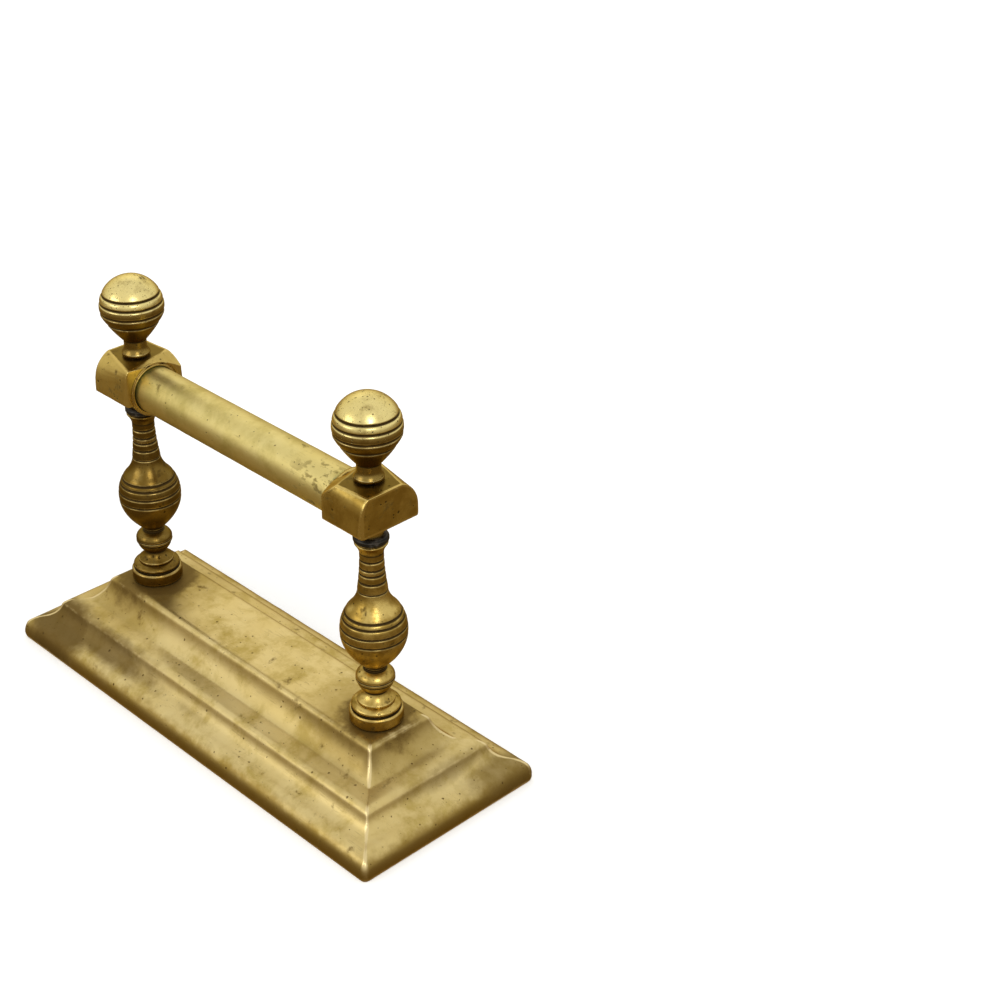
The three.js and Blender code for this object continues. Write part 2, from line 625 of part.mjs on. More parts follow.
// Heights on the post's axis, from the nut in the hollow to the top of the ball.
const footBottom = BASE_HEIGHT + SEAT_GAP;
const postBottom = footBottom + FOOT_HEIGHT + SEAT_GAP;
const washerBottom = postBottom + POST_HEIGHT + SEAT_GAP;
const blockBottom = washerBottom + WASHER_HEIGHT + SEAT_GAP;
const blockTop = blockBottom + BOSS_HEIGHT + BLOCK_HEIGHT;
const finialBottom = blockTop + SEAT_GAP;
const underWasherBottom = BASE_HEIGHT - BASE_WALL - SEAT_GAP - UNDER_WASHER_HEIGHT;
const nutBottom = underWasherBottom - SEAT_GAP - NUT_HEIGHT;
const rodBottom = nutBottom - ROD_TAIL;
const rodTop = finialBottom + THREAD_DEPTH - THREAD_END_GAP;

function postStack(end) {
  const stack = new THREE.Group();
  stack.add(piece(`${end}_foot_collar`, footCollarGeometry(), brownBrass, footBottom));
  stack.add(piece(`${end}_baluster_post`, postGeometry(), brownBrass, postBottom));
  stack.add(piece(`${end}_iron_washer`, washerGeometry(), blackIron, washerBottom));
  stack.add(piece(`${end}_socket_block`, blockGeometry(), brownBrass, blockBottom));
  stack.add(piece(`${end}_ball_finial`, finialGeometry(), paleBrass, finialBottom));
  stack.add(piece(`${end}_tie_rod`, tieRodGeometry(rodTop - rodBottom), rustyIron, rodBottom));
  stack.add(piece(`${end}_under_washer`, underWasherGeometry(), rustyIron, underWasherBottom));
  stack.add(piece(`${end}_tie_nut`, nutGeometry(), rustyIron, nutBottom));
  return stack;
}

const andiron = new THREE.Group();
andiron.add(piece('stepped_base', baseGeometry(), paleBrass, 0));
andiron.add(piece('rest_bar', barGeometry(), greenBrass, blockTop - BAR_AXIS_DEPTH));

const frontStack = postStack('front');
frontStack.position.x = POST_SPACING / 2;
andiron.add(frontStack);

const rearStack = postStack('rear');
rearStack.position.x = -POST_SPACING / 2;
rearStack.rotation.z = Math.PI;
andiron.add(rearStack);

export default andiron;
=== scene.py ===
# %% [markdown]
# # A brass andiron
# An andiron (or fire dog) stands on the hearth and carries fire irons or logs on its bar. This one
# is old brass: a stepped hollow base, two turned posts, a socket block on each post, a tube
# between the blocks and a ball finial on top. Blackened iron washers part the blocks from the
# posts, and iron rods with nuts under the base clamp each stack together.
#
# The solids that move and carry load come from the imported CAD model. Here each visible piece is
# built again in the same place with a finer surface, and gets a material that shows its age.

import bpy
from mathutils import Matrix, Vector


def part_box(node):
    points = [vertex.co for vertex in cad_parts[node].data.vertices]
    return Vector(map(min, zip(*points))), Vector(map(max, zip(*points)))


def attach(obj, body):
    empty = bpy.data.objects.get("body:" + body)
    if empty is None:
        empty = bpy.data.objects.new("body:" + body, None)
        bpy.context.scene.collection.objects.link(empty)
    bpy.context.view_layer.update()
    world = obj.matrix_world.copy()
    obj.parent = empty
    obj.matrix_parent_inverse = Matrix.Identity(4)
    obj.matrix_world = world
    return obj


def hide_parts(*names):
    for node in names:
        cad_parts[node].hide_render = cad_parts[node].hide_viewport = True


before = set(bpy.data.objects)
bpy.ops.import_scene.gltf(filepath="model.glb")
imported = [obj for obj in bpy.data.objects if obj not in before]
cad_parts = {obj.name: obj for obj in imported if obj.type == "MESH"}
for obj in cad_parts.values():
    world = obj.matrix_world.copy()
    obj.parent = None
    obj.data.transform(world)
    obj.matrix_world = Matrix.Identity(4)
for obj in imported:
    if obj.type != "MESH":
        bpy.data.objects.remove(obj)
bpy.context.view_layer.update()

# %% [markdown]
# ## Units and a first helper
# Blender works in metres here, but brass work is easier to think about in millimetres. So every
# shape below is worked out in millimetres and turned into metres once, when its mesh is made.

# %% Units and the mesh maker
import math

import bmesh
import bpy
import numpy as np
from mathutils import Matrix, Vector, noise

MM = 0.001


def mesh_piece(name, points, faces):
    """A smooth-shaded object from points in millimetres, with its faces turned outwards."""
    mesh = bpy.data.meshes.new(name)
    mesh.from_pydata([tuple(c * MM for c in point) for point in points], [], faces)
    work = bmesh.new()
    work.from_mesh(mesh)
    bmesh.ops.recalc_face_normals(work, faces=work.faces)
    work.to_mesh(mesh)
    work.free()
    mesh.shade_smooth()
    piece = bpy.data.objects.new(name, mesh)
    bpy.context.scene.collection.objects.link(piece)
    return piece


def axis_of(node):
    """Where a turned piece's upright axis stands, and its lowest height, in millimetres."""
    low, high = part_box(node)
    return (low.x + high.x) / 2 / MM, (low.y + high.y) / 2 / MM, low.z / MM


def bottom_of(node):
    """The height of a piece's lowest point, in millimetres."""
    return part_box(node)[0].z / MM


# %% [markdown]
# ## The camera
# The view is a long lens at the front right, looking down by about thirty degrees. The numbers
# were worked out from the base's corners, the balls and the swellings of the posts, so that all
# of them fall where they do in the photograph.

# %% Camera
CAMERA_PLACE = (651.4, -479.4, 585.8)
TURN_ROUND = math.radians(45.15)
LOOK_DOWN = math.radians(30.13)
CAMERA_ROLL = math.radians(0.41)
FOCAL_PIXELS = 1921.6
IMAGE_PIXELS = 1000
SENSOR_WIDTH = 36


def photo_camera():
    """A camera turned about +Z, tipped down and rolled a little about its own axis."""
    data = bpy.data.cameras.new("photo_camera")
    data.sensor_fit = "HORIZONTAL"
    data.sensor_width = SENSOR_WIDTH
    data.lens = FOCAL_PIXELS / IMAGE_PIXELS * SENSOR_WIDTH
    data.clip_start = 0.01
    data.clip_end = 50
    camera = bpy.data.objects.new("photo_camera", data)
    camera.location = Vector(CAMERA_PLACE) * MM
    turned_round = Matrix.Rotation(TURN_ROUND, 3, "Z")
    tipped = Matrix.Rotation(math.pi / 2 - LOOK_DOWN, 3, "X")
    rolled = Matrix.Rotation(CAMERA_ROLL, 3, "Z")
    camera.rotation_euler = (turned_round @ tipped @ rolled).to_euler()
    bpy.context.scene.collection.objects.link(camera)
    return camera


bpy.context.scene.camera = photo_camera()
print("lens in mm:", round(bpy.context.scene.camera.data.lens, 2))

# %% [markdown]
# ## Floor and light
# Polished metal has almost no colour of its own: it shows what stands around it. So the light is
# built as surroundings. The sky above is pale, the room at the horizon is dim, and below it is
# darker still, which gives the balls and the posts their dark undersides. The floor is plain and
# pale, and it is left out of reflections so that it doesn't light those undersides from below. A
# faint glow of its own keeps it white as far as the edge of the picture.

# %% Floor
FLOOR_HALF = 3000
FLOOR_LOOK = {"Base Color": (0.93, 0.93, 0.93, 1), "Roughness": 0.9, "Specular IOR Level": 0.0,
              "Emission Color": (1, 1, 1, 1), "Emission Strength": 0.2}


def new_material(name):
    """A material, its node tree and the sockets of its shader."""
    material = bpy.data.materials.new(name)
    material.use_nodes = True
    tree = material.node_tree
    return material, tree, tree.nodes["Principled BSDF"].inputs


def pale_floor():
    """A large square at height 0 that takes shadows but isn't mirrored in the brass."""
    half = FLOOR_HALF
    corners = [(-half, -half, 0), (half, -half, 0), (half, half, 0), (-half, half, 0)]
    floor = mesh_piece("floor", corners, [(0, 1, 2, 3)])
    floor.visible_glossy = False
    material, _, surface = new_material("pale_floor")
    for socket, value in FLOOR_LOOK.items():
        surface[socket].default_value = value
    floor.data.materials.append(material)


pale_floor()

# %% The surroundings that the brass reflects
SKY = [
    (0.00, (0.26, 0.18, 0.08)),
    (0.40, (0.28, 0.21, 0.11)),
    (0.50, (0.42, 0.36, 0.26)),
    (0.57, (0.84, 0.82, 0.76)),
    (0.70, (0.94, 0.94, 0.91)),
    (1.00, (0.94, 0.94, 0.93)),
]


def surroundings():
    """A sky that is coloured by height alone: each entry of SKY is (height share, colour)."""
    world = bpy.data.worlds.new("surroundings")
    world.use_nodes = True
    tree = world.node_tree
    direction = tree.nodes.new("ShaderNodeTexCoord").outputs["Generated"]
    parts = tree.nodes.new("ShaderNodeSeparateXYZ")
    tree.links.new(direction, parts.inputs[0])
    share = tree.nodes.new("ShaderNodeMapRange")
    share.inputs["From Min"].default_value = -1
    tree.links.new(parts.outputs["Z"], share.inputs["Value"])
    ramp = tree.nodes.new("ShaderNodeValToRGB")
    ramp.color_ramp.elements.remove(ramp.color_ramp.elements[1])
    for place, colour in SKY:
        if place == 0:
            entry = ramp.color_ramp.elements[0]
        else:
            entry = ramp.color_ramp.elements.new(place)
        entry.color = (*colour, 1)
    tree.links.new(share.outputs["Result"], ramp.inputs["Fac"])
    tree.links.new(ramp.outputs["Color"], tree.nodes["Background"].inputs["Color"])
    bpy.context.scene.world = world


surroundings()

# %% Soft lamps
def soft_lamp(name, place, target, width, height, power, colour=(1, 1, 1)):
    """A rectangular lamp at a place in millimetres, facing a target."""
    data = bpy.data.lights.new(name, "AREA")
    data.shape = "RECTANGLE"
    data.size = width * MM
    data.size_y = height * MM
    data.energy = power
    data.color = colour
    lamp = bpy.data.objects.new(name, data)
    lamp.location = Vector(place) * MM
    aim = (Vector(target) - Vector(place)).normalized()
    lamp.rotation_euler = aim.to_track_quat("-Z", "Y").to_euler()
    bpy.context.scene.collection.objects.link(lamp)


soft_lamp("window_behind_left", (-1500, 1000, 1500), (0, 0, 60), 1300, 1100, 1.2)
soft_lamp("lamp_by_camera", (1150, -560, 1150), (0, 0, 100), 420, 620, 4.5)
soft_lamp("lamp_from_left", (-500, -1500, 900), (0, 0, 60), 900, 700, 4, (1, 0.99, 0.97))
bpy.context.scene.view_settings.view_transform = "Standard"

# %% [markdown]
# ## Where wear, dirt and painted light go
# Hands and polishing cloths reach the edges and miss the grooves. Both are a matter of shape, so
# they are measured on the mesh: an edge of the mesh that bends outwards marks a crest, one that
# bends inwards marks a groove. On brass the crests also carry a painted highlight. Each mark is
# kept as a number on the mesh's points, where any material can read it by name. "under" marks the
# sides that face the floor, which the brass darkens as painted shade, and "top" the sides that face
# up, where dust and damp settle.

# %% Measure crests, grooves and undersides
CREST_FULL = 0.9
GROOVE_FULL = 1.1
SHORTEST_EDGE = 0.02
PASSES_PER_MM = 6


def neighbours(ends, lengths):
    """Every edge seen from both of its points, in the order of the points it leads to.

    Gives each edge's source, the points reached, where each one's edges start, the lengths and
    the order."""
    source = np.concatenate([ends[:, 0], ends[:, 1]])
    target = np.concatenate([ends[:, 1], ends[:, 0]])
    order = np.argsort(target, kind="stable")
    reached, starts = np.unique(target[order], return_index=True)
    return source[order], reached, starts, np.tile(lengths, 2)[order], order


def spread(marks, around, reach):
    """Lets each mark fade outwards along the mesh's edges over a reach in millimetres."""
    source, reached, starts, lengths, _ = around
    fade = np.exp(-lengths / reach)
    for _ in range(int(reach * PASSES_PER_MM) + 2):
        arriving = np.maximum.reduceat(marks[source] * fade, starts)
        marks[reached] = np.maximum(marks[reached], arriving)
    return marks


def surface_of(mesh):
    """A mesh's points in millimetres and its normals, as arrays."""
    places = np.empty(len(mesh.vertices) * 3)
    mesh.vertices.foreach_get("co", places)
    normals = np.empty(len(mesh.vertices) * 3)
    mesh.vertex_normals.foreach_get("vector", normals)
    return places.reshape(-1, 3) / MM, normals.reshape(-1, 3)


def mark_wear(piece, crest_reach=0.8, groove_reach=0.55):
    """Writes the crest, groove, under and top marks on a piece's points."""
    mesh = piece.data
    count = len(mesh.vertices)
    places, normals = surface_of(mesh)
    ends = np.empty(len(mesh.edges) * 2, int)
    mesh.edges.foreach_get("vertices", ends)
    ends = ends.reshape(-1, 2)
    along = places[ends[:, 1]] - places[ends[:, 0]]
    lengths = np.maximum(np.linalg.norm(along, axis=1), SHORTEST_EDGE)
    bend = ((normals[ends[:, 1]] - normals[ends[:, 0]]) * along).sum(1) / lengths**2
    around = neighbours(ends, lengths)
    bend = np.tile(bend, 2)[around[4]]
    crest = np.zeros(count)
    groove = np.zeros(count)
    crest[around[1]] = np.maximum.reduceat(bend / CREST_FULL, around[2])
    groove[around[1]] = np.maximum.reduceat(-bend / GROOVE_FULL, around[2])
    crest = spread(np.clip(crest, 0, 1), around, crest_reach)
    groove = spread(np.clip(groove, 0, 1), around, groove_reach)
    under = np.clip(-normals[:, 2], 0, 1)
    top = np.clip(normals[:, 2], 0, 1)
    marks = {"crest": crest, "groove": groove, "under": under, "top": top}
    for label, values in marks.items():
        layer = mesh.attributes.new(label, "FLOAT", "POINT")
        layer.data.foreach_set("value", values.astype(np.float32))


# %% [markdown]
# ## Tools for building materials
# A material is a network of nodes. These helpers put one node down and wire it in a single call,
# so that the recipes that follow read as sums. An effect that several metals share is made once,
# as a node group with named inputs, and each metal then sets its own amounts.

# %% Node helpers
def place(tree, kind, sockets=None, **settings):
    """One node: its settings, then its sockets, each a plain value or another node's output."""
    node = tree.nodes.new(kind)
    for key, value in settings.items():
        setattr(node, key, value)
    for key, value in (sockets or {}).items():
        if isinstance(value, bpy.types.NodeSocket):
            tree.links.new(value, node.inputs[key])
        else:
            node.inputs[key].default_value = value
    return node


def maths(tree, operation, first, second=0.0):
    return place(tree, "ShaderNodeMath", {0: first, 1: second}, operation=operation).outputs[0]


def times(tree, first, second):
    return maths(tree, "MULTIPLY", first, second)


def plus(tree, first, second):
    return maths(tree, "ADD", first, second)


def minus(tree, first, second):
    return maths(tree, "SUBTRACT", first, second)


def larger(tree, first, second):
    return maths(tree, "MAXIMUM", first, second)


def vector_maths(tree, operation, first, second):
    node = place(tree, "ShaderNodeVectorMath", {0: first, 1: second}, operation=operation)
    return node.outputs[0]


def ease(tree, value, low, high):
    """Rises smoothly from 0 to 1 while value goes from low to high (or falls, if low > high)."""
    sockets = {"Value": value, "From Min": low, "From Max": high}
    node = place(tree, "ShaderNodeMapRange", sockets, interpolation_type="SMOOTHSTEP")
    return node.outputs["Result"]


def tint(tree, share, lower, upper):
    """The lower colour, covered by the upper one where share is 1. Plain colours are (r, g, b)."""
    lower, upper = [(*c, 1) if isinstance(c, tuple) else c for c in (lower, upper)]
    node = place(tree, "ShaderNodeMix", {0: share, 6: lower, 7: upper}, data_type="RGBA")
    return node.outputs[2]


def clouds(tree, coordinates, size, detail=5.0, roughness=0.6, seed=0.0, twist=0.0):
    """Soft random variation around 0.5, with patches of a size in millimetres."""
    sockets = {"Vector": coordinates, "W": seed, "Detail": detail, "Roughness": roughness,
               "Distortion": twist}
    if isinstance(size, bpy.types.NodeSocket):
        sockets["Scale"] = maths(tree, "DIVIDE", 1 / MM, size)
    else:
        sockets["Scale"] = 1 / MM / size
    return place(tree, "ShaderNodeTexNoise", sockets, noise_dimensions="4D").outputs["Fac"]


def stretched(tree, coordinates, x, y, z):
    """The same coordinates, stretched so that a pattern is longer along some axes."""
    return vector_maths(tree, "MULTIPLY", coordinates, (1 / x, 1 / y, 1 / z))


def only(tree, coordinates, axis):
    """The part of the coordinates along one axis."""
    return place(tree, "ShaderNodeSeparateXYZ", {0: coordinates}).outputs[axis]


def mark(tree, label):
    """A mark that mark_wear wrote on the mesh's points."""
    return place(tree, "ShaderNodeAttribute", attribute_name=label).outputs["Fac"]


def effect(name, inputs):
    """A node group that makes a mask: its tree, its input values and the mask's socket."""
    group = bpy.data.node_groups.new(name, "ShaderNodeTree")
    for label, default in {"Coordinates": None, **inputs}.items():
        kind = "NodeSocketFloat" if isinstance(default, float) else "NodeSocketVector"
        socket = group.interface.new_socket(name=label, in_out="INPUT", socket_type=kind)
        if default is not None:
            socket.default_value = default
    group.interface.new_socket(name="Mask", in_out="OUTPUT", socket_type="NodeSocketFloat")
    given = group.nodes.new("NodeGroupInput").outputs
    return group, given, group.nodes.new("NodeGroupOutput").inputs["Mask"]


def use(tree, group, here, sockets):
    """Places an effect in a material, sets its inputs and returns its mask."""
    sockets = {"Coordinates": here, **sockets}
    return place(tree, "ShaderNodeGroup", sockets, node_tree=group).outputs["Mask"]


# %% [markdown]
# ## Effect: tarnish
# Brass browns in patches, where moisture and soot sat on it longest. Two layers of noise make
# it: large soft clouds, and a finer one that frays their outlines.

# %% Tarnish patches
FRAY_SIZE, FRAY_SHARE = 1.6, 0.16
BARE_LIMIT, LIMIT_PER_COVER = 0.80, 0.44


def make_tarnish():
    """A mask that is 1 in the patches. A larger Cover lowers the limit that the noise must pass."""
    tree, given, mask = effect("Tarnish Patches", {"Patch Size": 12.0, "Cover": 0.4,
                                                   "Softness": 0.1, "Seed": 0.0})
    large = clouds(tree, given["Coordinates"], given["Patch Size"], seed=given["Seed"], twist=0.3)
    fine = clouds(tree, given["Coordinates"], FRAY_SIZE, detail=3, seed=given["Seed"])
    frayed = plus(tree, large, times(tree, fine, FRAY_SHARE))
    middle = minus(tree, BARE_LIMIT, times(tree, given["Cover"], LIMIT_PER_COVER))
    low = minus(tree, middle, given["Softness"])
    high = plus(tree, middle, given["Softness"])
    tree.links.new(ease(tree, frayed, low, high), mask)
    return tree


TARNISH = make_tarnish()

# %% [markdown]
# ## Effect: pits
# Old castings and worn polished brass are full of small dark pits. A Voronoi texture scatters
# one spot in each of its cells, and a random number for each cell leaves most of them out.

# %% Pits
PIT_RAGGEDNESS = 0.9 * MM
PIT_FLOOR = 0.4


def make_pits():
    """A mask of round pits. Spacing is in millimetres, Size is a share of the spacing."""
    tree, given, mask = effect("Pits", {"Spacing": 2.5, "Share": 0.3, "Size": 0.3})
    sway = clouds(tree, given["Coordinates"], 1.2, detail=2)
    push = times(tree, minus(tree, sway, 0.5), PIT_RAGGEDNESS)
    moved = vector_maths(tree, "ADD", given["Coordinates"], push)
    cells = place(tree, "ShaderNodeTexVoronoi", {
        "Vector": moved, "Scale": maths(tree, "DIVIDE", 1 / MM, given["Spacing"])}).outputs
    lot = place(tree, "ShaderNodeSeparateColor", {0: cells["Color"]}).outputs
    radius = times(tree, given["Size"], lot["Green"])
    spot = ease(tree, cells["Distance"], radius, times(tree, radius, PIT_FLOOR))
    drawn = maths(tree, "LESS_THAN", lot["Red"], given["Share"])
    tree.links.new(times(tree, spot, drawn), mask)
    return tree


PITS = make_pits()

# %% [markdown]
# ## Effect: scratches
# Thin lines are found where a noise passes through its middle value. Stretching the noise along
# one axis turns the loops into long hairlines, and a second noise breaks them up.

# %% Hairline scratches
def make_scratches():
    """A mask of hairlines. Stretch is the pattern's size along each axis, in metres."""
    tree, given, mask = effect("Hairline Scratches", {"Stretch": (0.02, 0.001, 0.001),
                                                      "Width": 0.01, "Seed": 0.0})
    drawn = vector_maths(tree, "DIVIDE", given["Coordinates"], given["Stretch"])
    sockets = {"Vector": drawn, "W": given["Seed"], "Scale": 1.0, "Detail": 1.5}
    field = place(tree, "ShaderNodeTexNoise", sockets, noise_dimensions="4D").outputs["Fac"]
    away = maths(tree, "ABSOLUTE", minus(tree, field, 0.5))
    line = ease(tree, away, given["Width"], 0.0)
    gaps = ease(tree, clouds(tree, given["Coordinates"], 9.0, seed=given["Seed"]), 0.5, 0.62)
    tree.links.new(times(tree, line, gaps), mask)
    return tree


SCRATCHES = make_scratches()

# %% [markdown]
# ## Effects: rubbed edges with a painted highlight, and dirty grooves
# Both start from the marks measured on the mesh. Noise moves the limit a little, so that the
# bright line along an edge, worn metal with a painted highlight on it, comes and goes as it does
# on a piece that is cleaned by hand.

# %% Rubbed edges with a painted highlight, and dirty grooves
def make_wear(name, label, start, patchiness, size, seed, span):
    """A mask that rises over a span, from where a mark on the mesh passes a wandering limit."""
    tree, given, mask = effect(name, {"Start": start, "Patchiness": patchiness})
    change = minus(tree, clouds(tree, given["Coordinates"], size, seed=seed), 0.5)
    limit = plus(tree, given["Start"], times(tree, change, given["Patchiness"]))
    tree.links.new(ease(tree, mark(tree, label), limit, plus(tree, limit, span)), mask)
    return tree


RUBBED_EDGE_HIGHLIGHT = make_wear("Rubbed Edges And Highlight", "crest", 0.35, 0.6, size=5.0, seed=3, span=0.35)
DIRTY = make_wear("Dirty Grooves", "groove", 0.2, 0.4, size=3.0, seed=7, span=0.45)
print("effects:", [g.name for g in (TARNISH, PITS, SCRATCHES, RUBBED_EDGE_HIGHLIGHT, DIRTY)])

# %% [markdown]
# ## The recipe for old brass
# Every brass piece goes through the same stages: clean metal, a thin brown skin with painted shade
# on the sides that face the floor, deeper stains, dirt in the grooves, pits, scratches, and last
# the rubbed edges, which cut through all of them and carry a painted highlight. Each stage changes
# the colour and the roughness, and the pits and scratches also press into the surface. A piece's
# own stains, and on the balls and the base painted shade, are added by a function of its own before
# the edges. What brass mirrors at a glancing angle is given a yellow tint too, so that its rims
# don't turn grey.

# %% Old brass
GLANCE = (1.0, 0.84, 0.52, 1)
YELLOWED = (0.94, 0.91, 0.80)
# Makes rubbed edges paler and brighter than clean brass: a painted highlight.
POLISHED_HIGHLIGHT = (1.16, 1.18, 1.35)
DARKENED = (0.5, 0.5, 0.5)
PIT_SIZE, SPECK_SIZE = 0.42, 0.36
SPECK_SPACING, SPECK_SHARE = 0.45, 0.7
BRASS_RELIEF = 0.12 * MM


def scaled(colour, shares):
    """A colour with each part scaled by its own share, and held at 1."""
    return tuple(min(1, c * s) for c, s in zip(colour, shares))


def old_brass(name, clean, aged, dark, shine, patch, cover, stains, pits, lines, own=None,
              rub=(0.35, 0.6), dirt=(0.2, 0.4), under_shade_share=0.5):
    """A brass material. Colours are linear, sizes in millimetres, shares from 0 to 1.

    pits: spacing and share. lines: the scratches' stretch, the depth of the grain, the stretch
    of the tool marks (or None) and their depth. rub and dirt: start and patchiness."""
    material, tree, surface = new_material(name)
    surface["Metallic"].default_value = 1.0
    surface["Specular Tint"].default_value = GLANCE
    here = place(tree, "ShaderNodeTexCoord").outputs["Object"]
    drift = clouds(tree, here, patch * 2.6, seed=11)
    colour = tint(tree, ease(tree, drift, 0.35, 0.65), clean, scaled(clean, YELLOWED))
    thin = use(tree, TARNISH, here, {"Patch Size": patch, "Cover": cover, "Softness": 0.14,
                                     "Seed": 1.0})
    # Painted shade: the sides that face the floor take the aged colour.
    under_shade = times(tree, ease(tree, mark(tree, "under"), 0.0, 0.45), under_shade_share)
    skin = larger(tree, thin, under_shade)
    colour = tint(tree, skin, colour, aged)
    deep = use(tree, TARNISH, here, {"Patch Size": patch * 0.6, "Cover": stains,
                                     "Softness": 0.07, "Seed": 5.0})
    deep = times(tree, deep, 0.75)
    if own:
        colour, deep = own(tree, here, colour, deep)
    grime = use(tree, DIRTY, here, {"Start": dirt[0], "Patchiness": dirt[1]})
    deep = larger(tree, deep, grime)
    spots = use(tree, PITS, here, {"Spacing": pits[0], "Share": pits[1], "Size": PIT_SIZE})
    specks = use(tree, PITS, here, {"Spacing": pits[0] * SPECK_SPACING,
                                    "Share": pits[1] * SPECK_SHARE, "Size": SPECK_SIZE})
    holes = larger(tree, spots, specks)
    edge = use(tree, RUBBED_EDGE_HIGHLIGHT, here, {"Start": rub[0], "Patchiness": rub[1]})
    deep = times(tree, deep, minus(tree, 1.0, times(tree, edge, 0.6)))
    colour = tint(tree, deep, colour, dark)
    colour = tint(tree, times(tree, holes, 0.8), colour, scaled(dark, DARKENED))
    # Painted highlight: the rubbed edges are lifted above the clean brass as well as worn.
    colour = tint(tree, times(tree, edge, 0.8), colour, scaled(clean, POLISHED_HIGHLIGHT))
    stretch, grain_depth, tool_marks, tool_depth = lines
    fine = use(tree, SCRATCHES, here, {"Stretch": stretch, "Width": 0.02, "Seed": 2.0})
    colour = tint(tree, times(tree, fine, 0.25), colour, dark)
    tree.links.new(colour, surface["Base Color"])
    rough = times(tree, clouds(tree, here, 4.0, detail=4, seed=13), 0.16)
    rough = plus(tree, rough, shine - 0.08)
    rough = plus(tree, rough, times(tree, skin, 0.05))
    rough = plus(tree, rough, times(tree, deep, 0.22))
    rough = minus(tree, rough, times(tree, edge, 0.06))
    tree.links.new(rough, surface["Roughness"])
    tree.links.new(minus(tree, 1.0, times(tree, deep, 0.15)), surface["Metallic"])
    relief = minus(tree, times(tree, holes, -1.0), times(tree, fine, 0.12))
    grain = clouds(tree, here, 2.2, detail=6, roughness=0.7, seed=17)
    relief = plus(tree, relief, times(tree, grain, grain_depth))
    if tool_marks:
        along = stretched(tree, here, *[c * MM for c in tool_marks])
        turned = place(tree, "ShaderNodeTexNoise", {"Vector": along, "Scale": 1.0, "Detail": 3.0})
        relief = plus(tree, relief, times(tree, turned.outputs["Fac"], tool_depth))
    bump = place(tree, "ShaderNodeBump", {"Height": relief, "Distance": BRASS_RELIEF,
                                          "Strength": 1.0})
    tree.links.new(bump.outputs["Normal"], surface["Normal"])
    return material


# %% [markdown]
# ### The base's brass
# The base is the palest and most worn casting. Brown stains sit round both feet, where polish
# never reaches, and in the lower cove at the back end. Painted shade darkens the +Y half of the
# lower cove at the front end and, together with a stain, a streak under the ledge of the near side.
# The rim that meets the hearth is browner than the rest.

# %% Brass of the base
FRONT_FOOT = axis_of("front_foot_collar")
REAR_FOOT = axis_of("rear_foot_collar")
print("post axes in mm:", FRONT_FOOT, REAR_FOOT)


def away_from(tree, here, x, y, reach_x=1.0, reach_y=1.0):
    """Level distance in millimetres from an upright axis, with its own scale along X and Y."""
    moved = vector_maths(tree, "SUBTRACT", here, (x * MM, y * MM, 0))
    flat = vector_maths(tree, "MULTIPLY", moved, (1 / MM / reach_x, 1 / MM / reach_y, 0))
    return place(tree, "ShaderNodeVectorMath", {0: flat}, operation="LENGTH").outputs["Value"]


# Each stain or patch of painted shade: place along X and across Y, how far it is drawn out along
# both, size, strength. The entry at x 134 is painted shade; the one at x -78, under the ledge, is
# partly stain and partly painted shade; the rest are stains.
STAINS_AND_SHADE = [
    (-114, -46, 2.2, 1.3, 14, 0.90),
    (-78, -42, 6.5, 0.9, 10, 0.80),
    (-6, -43, 4.0, 0.6, 6, 0.35),
    (134, 42, 1.1, 3.4, 11, 0.60),
    (124, 14, 0.5, 4.0, 9, 0.40),
    (106, -20, 0.7, 0.9, 8, 0.40),
    (114, 6, 0.5, 2.4, 8, 0.35),
]
# Each foot's stain: the foot and the stain's radius in millimetres.
FOOT_STAINS = ((FRONT_FOOT, 33.0), (REAR_FOOT, 36.0))
HALO_BROWN = (0.36, 0.25, 0.07)
RIM_BROWN = (0.27, 0.17, 0.032)


def base_stains_and_shade(tree, here, colour, deep):
    """Stains round the feet and at the back end of the lower cove, painted shade at the front end
    and under the ledge, and a browner floor rim.
    """
    ragged = times(tree, clouds(tree, here, 7.0, seed=21), 16.0)
    for foot, reach in FOOT_STAINS:
        ring = plus(tree, away_from(tree, here, foot[0], foot[1]), ragged)
        halo = ease(tree, ring, reach + 20, reach - 8)
        colour = tint(tree, times(tree, halo, 0.85), colour, HALO_BROWN)
        core = ease(tree, ring, reach - 3, reach - 10)
        deep = larger(tree, deep, times(tree, core, 0.8))
    for x, y, long, wide, edge, share in STAINS_AND_SHADE:
        distance = away_from(tree, here, x, y, long, wide)
        patch = plus(tree, distance, times(tree, ragged, 0.4))
        deep = larger(tree, deep, times(tree, ease(tree, patch, edge + 3, edge - 4), share))
    # Browner towards the floor: fully over the lowest 11 mm, fading out by 15.5 mm.
    uneven = times(tree, clouds(tree, here, 6.0, seed=23), 7 * MM)
    rim = ease(tree, plus(tree, only(tree, here, "Z"), uneven), 15.5 * MM, 11 * MM)
    return tint(tree, times(tree, rim, 0.8), colour, RIM_BROWN), deep


BASE_BRASS = old_brass(
    "worn_base_brass", clean=(0.69, 0.545, 0.245), aged=(0.47, 0.345, 0.10),
    dark=(0.13, 0.075, 0.016), shine=0.36, patch=15, cover=0.36, stains=0.10, pits=(2.3, 0.10),
    lines=((0.03, 0.0012, 0.0012), 0.16, None, 0), own=base_stains_and_shade, rub=(0.22, 0.5),
    dirt=(0.35, 0.5), under_shade_share=0.35)

# %% [markdown]
# ### Brass of the turned pieces, the blocks, the ball finials and the tube
# The posts are browner than the base, the rear one most, and their scribed lines are dark. The
# flat tops of the blocks have gone brown. The balls are pale on top and carry painted shade from
# their second line down. The tube was drawn, not cast, so its marks run lengthways, and it
# turns green where it meets the blocks.

# %% Brass of the posts and blocks
REAR_POST_BROWN = (0.125, 0.07, 0.011)
REAR_BLOCK_PALE = (0.66, 0.50, 0.16)
BLOCK_TOP_BROWN = (0.13, 0.08, 0.018)


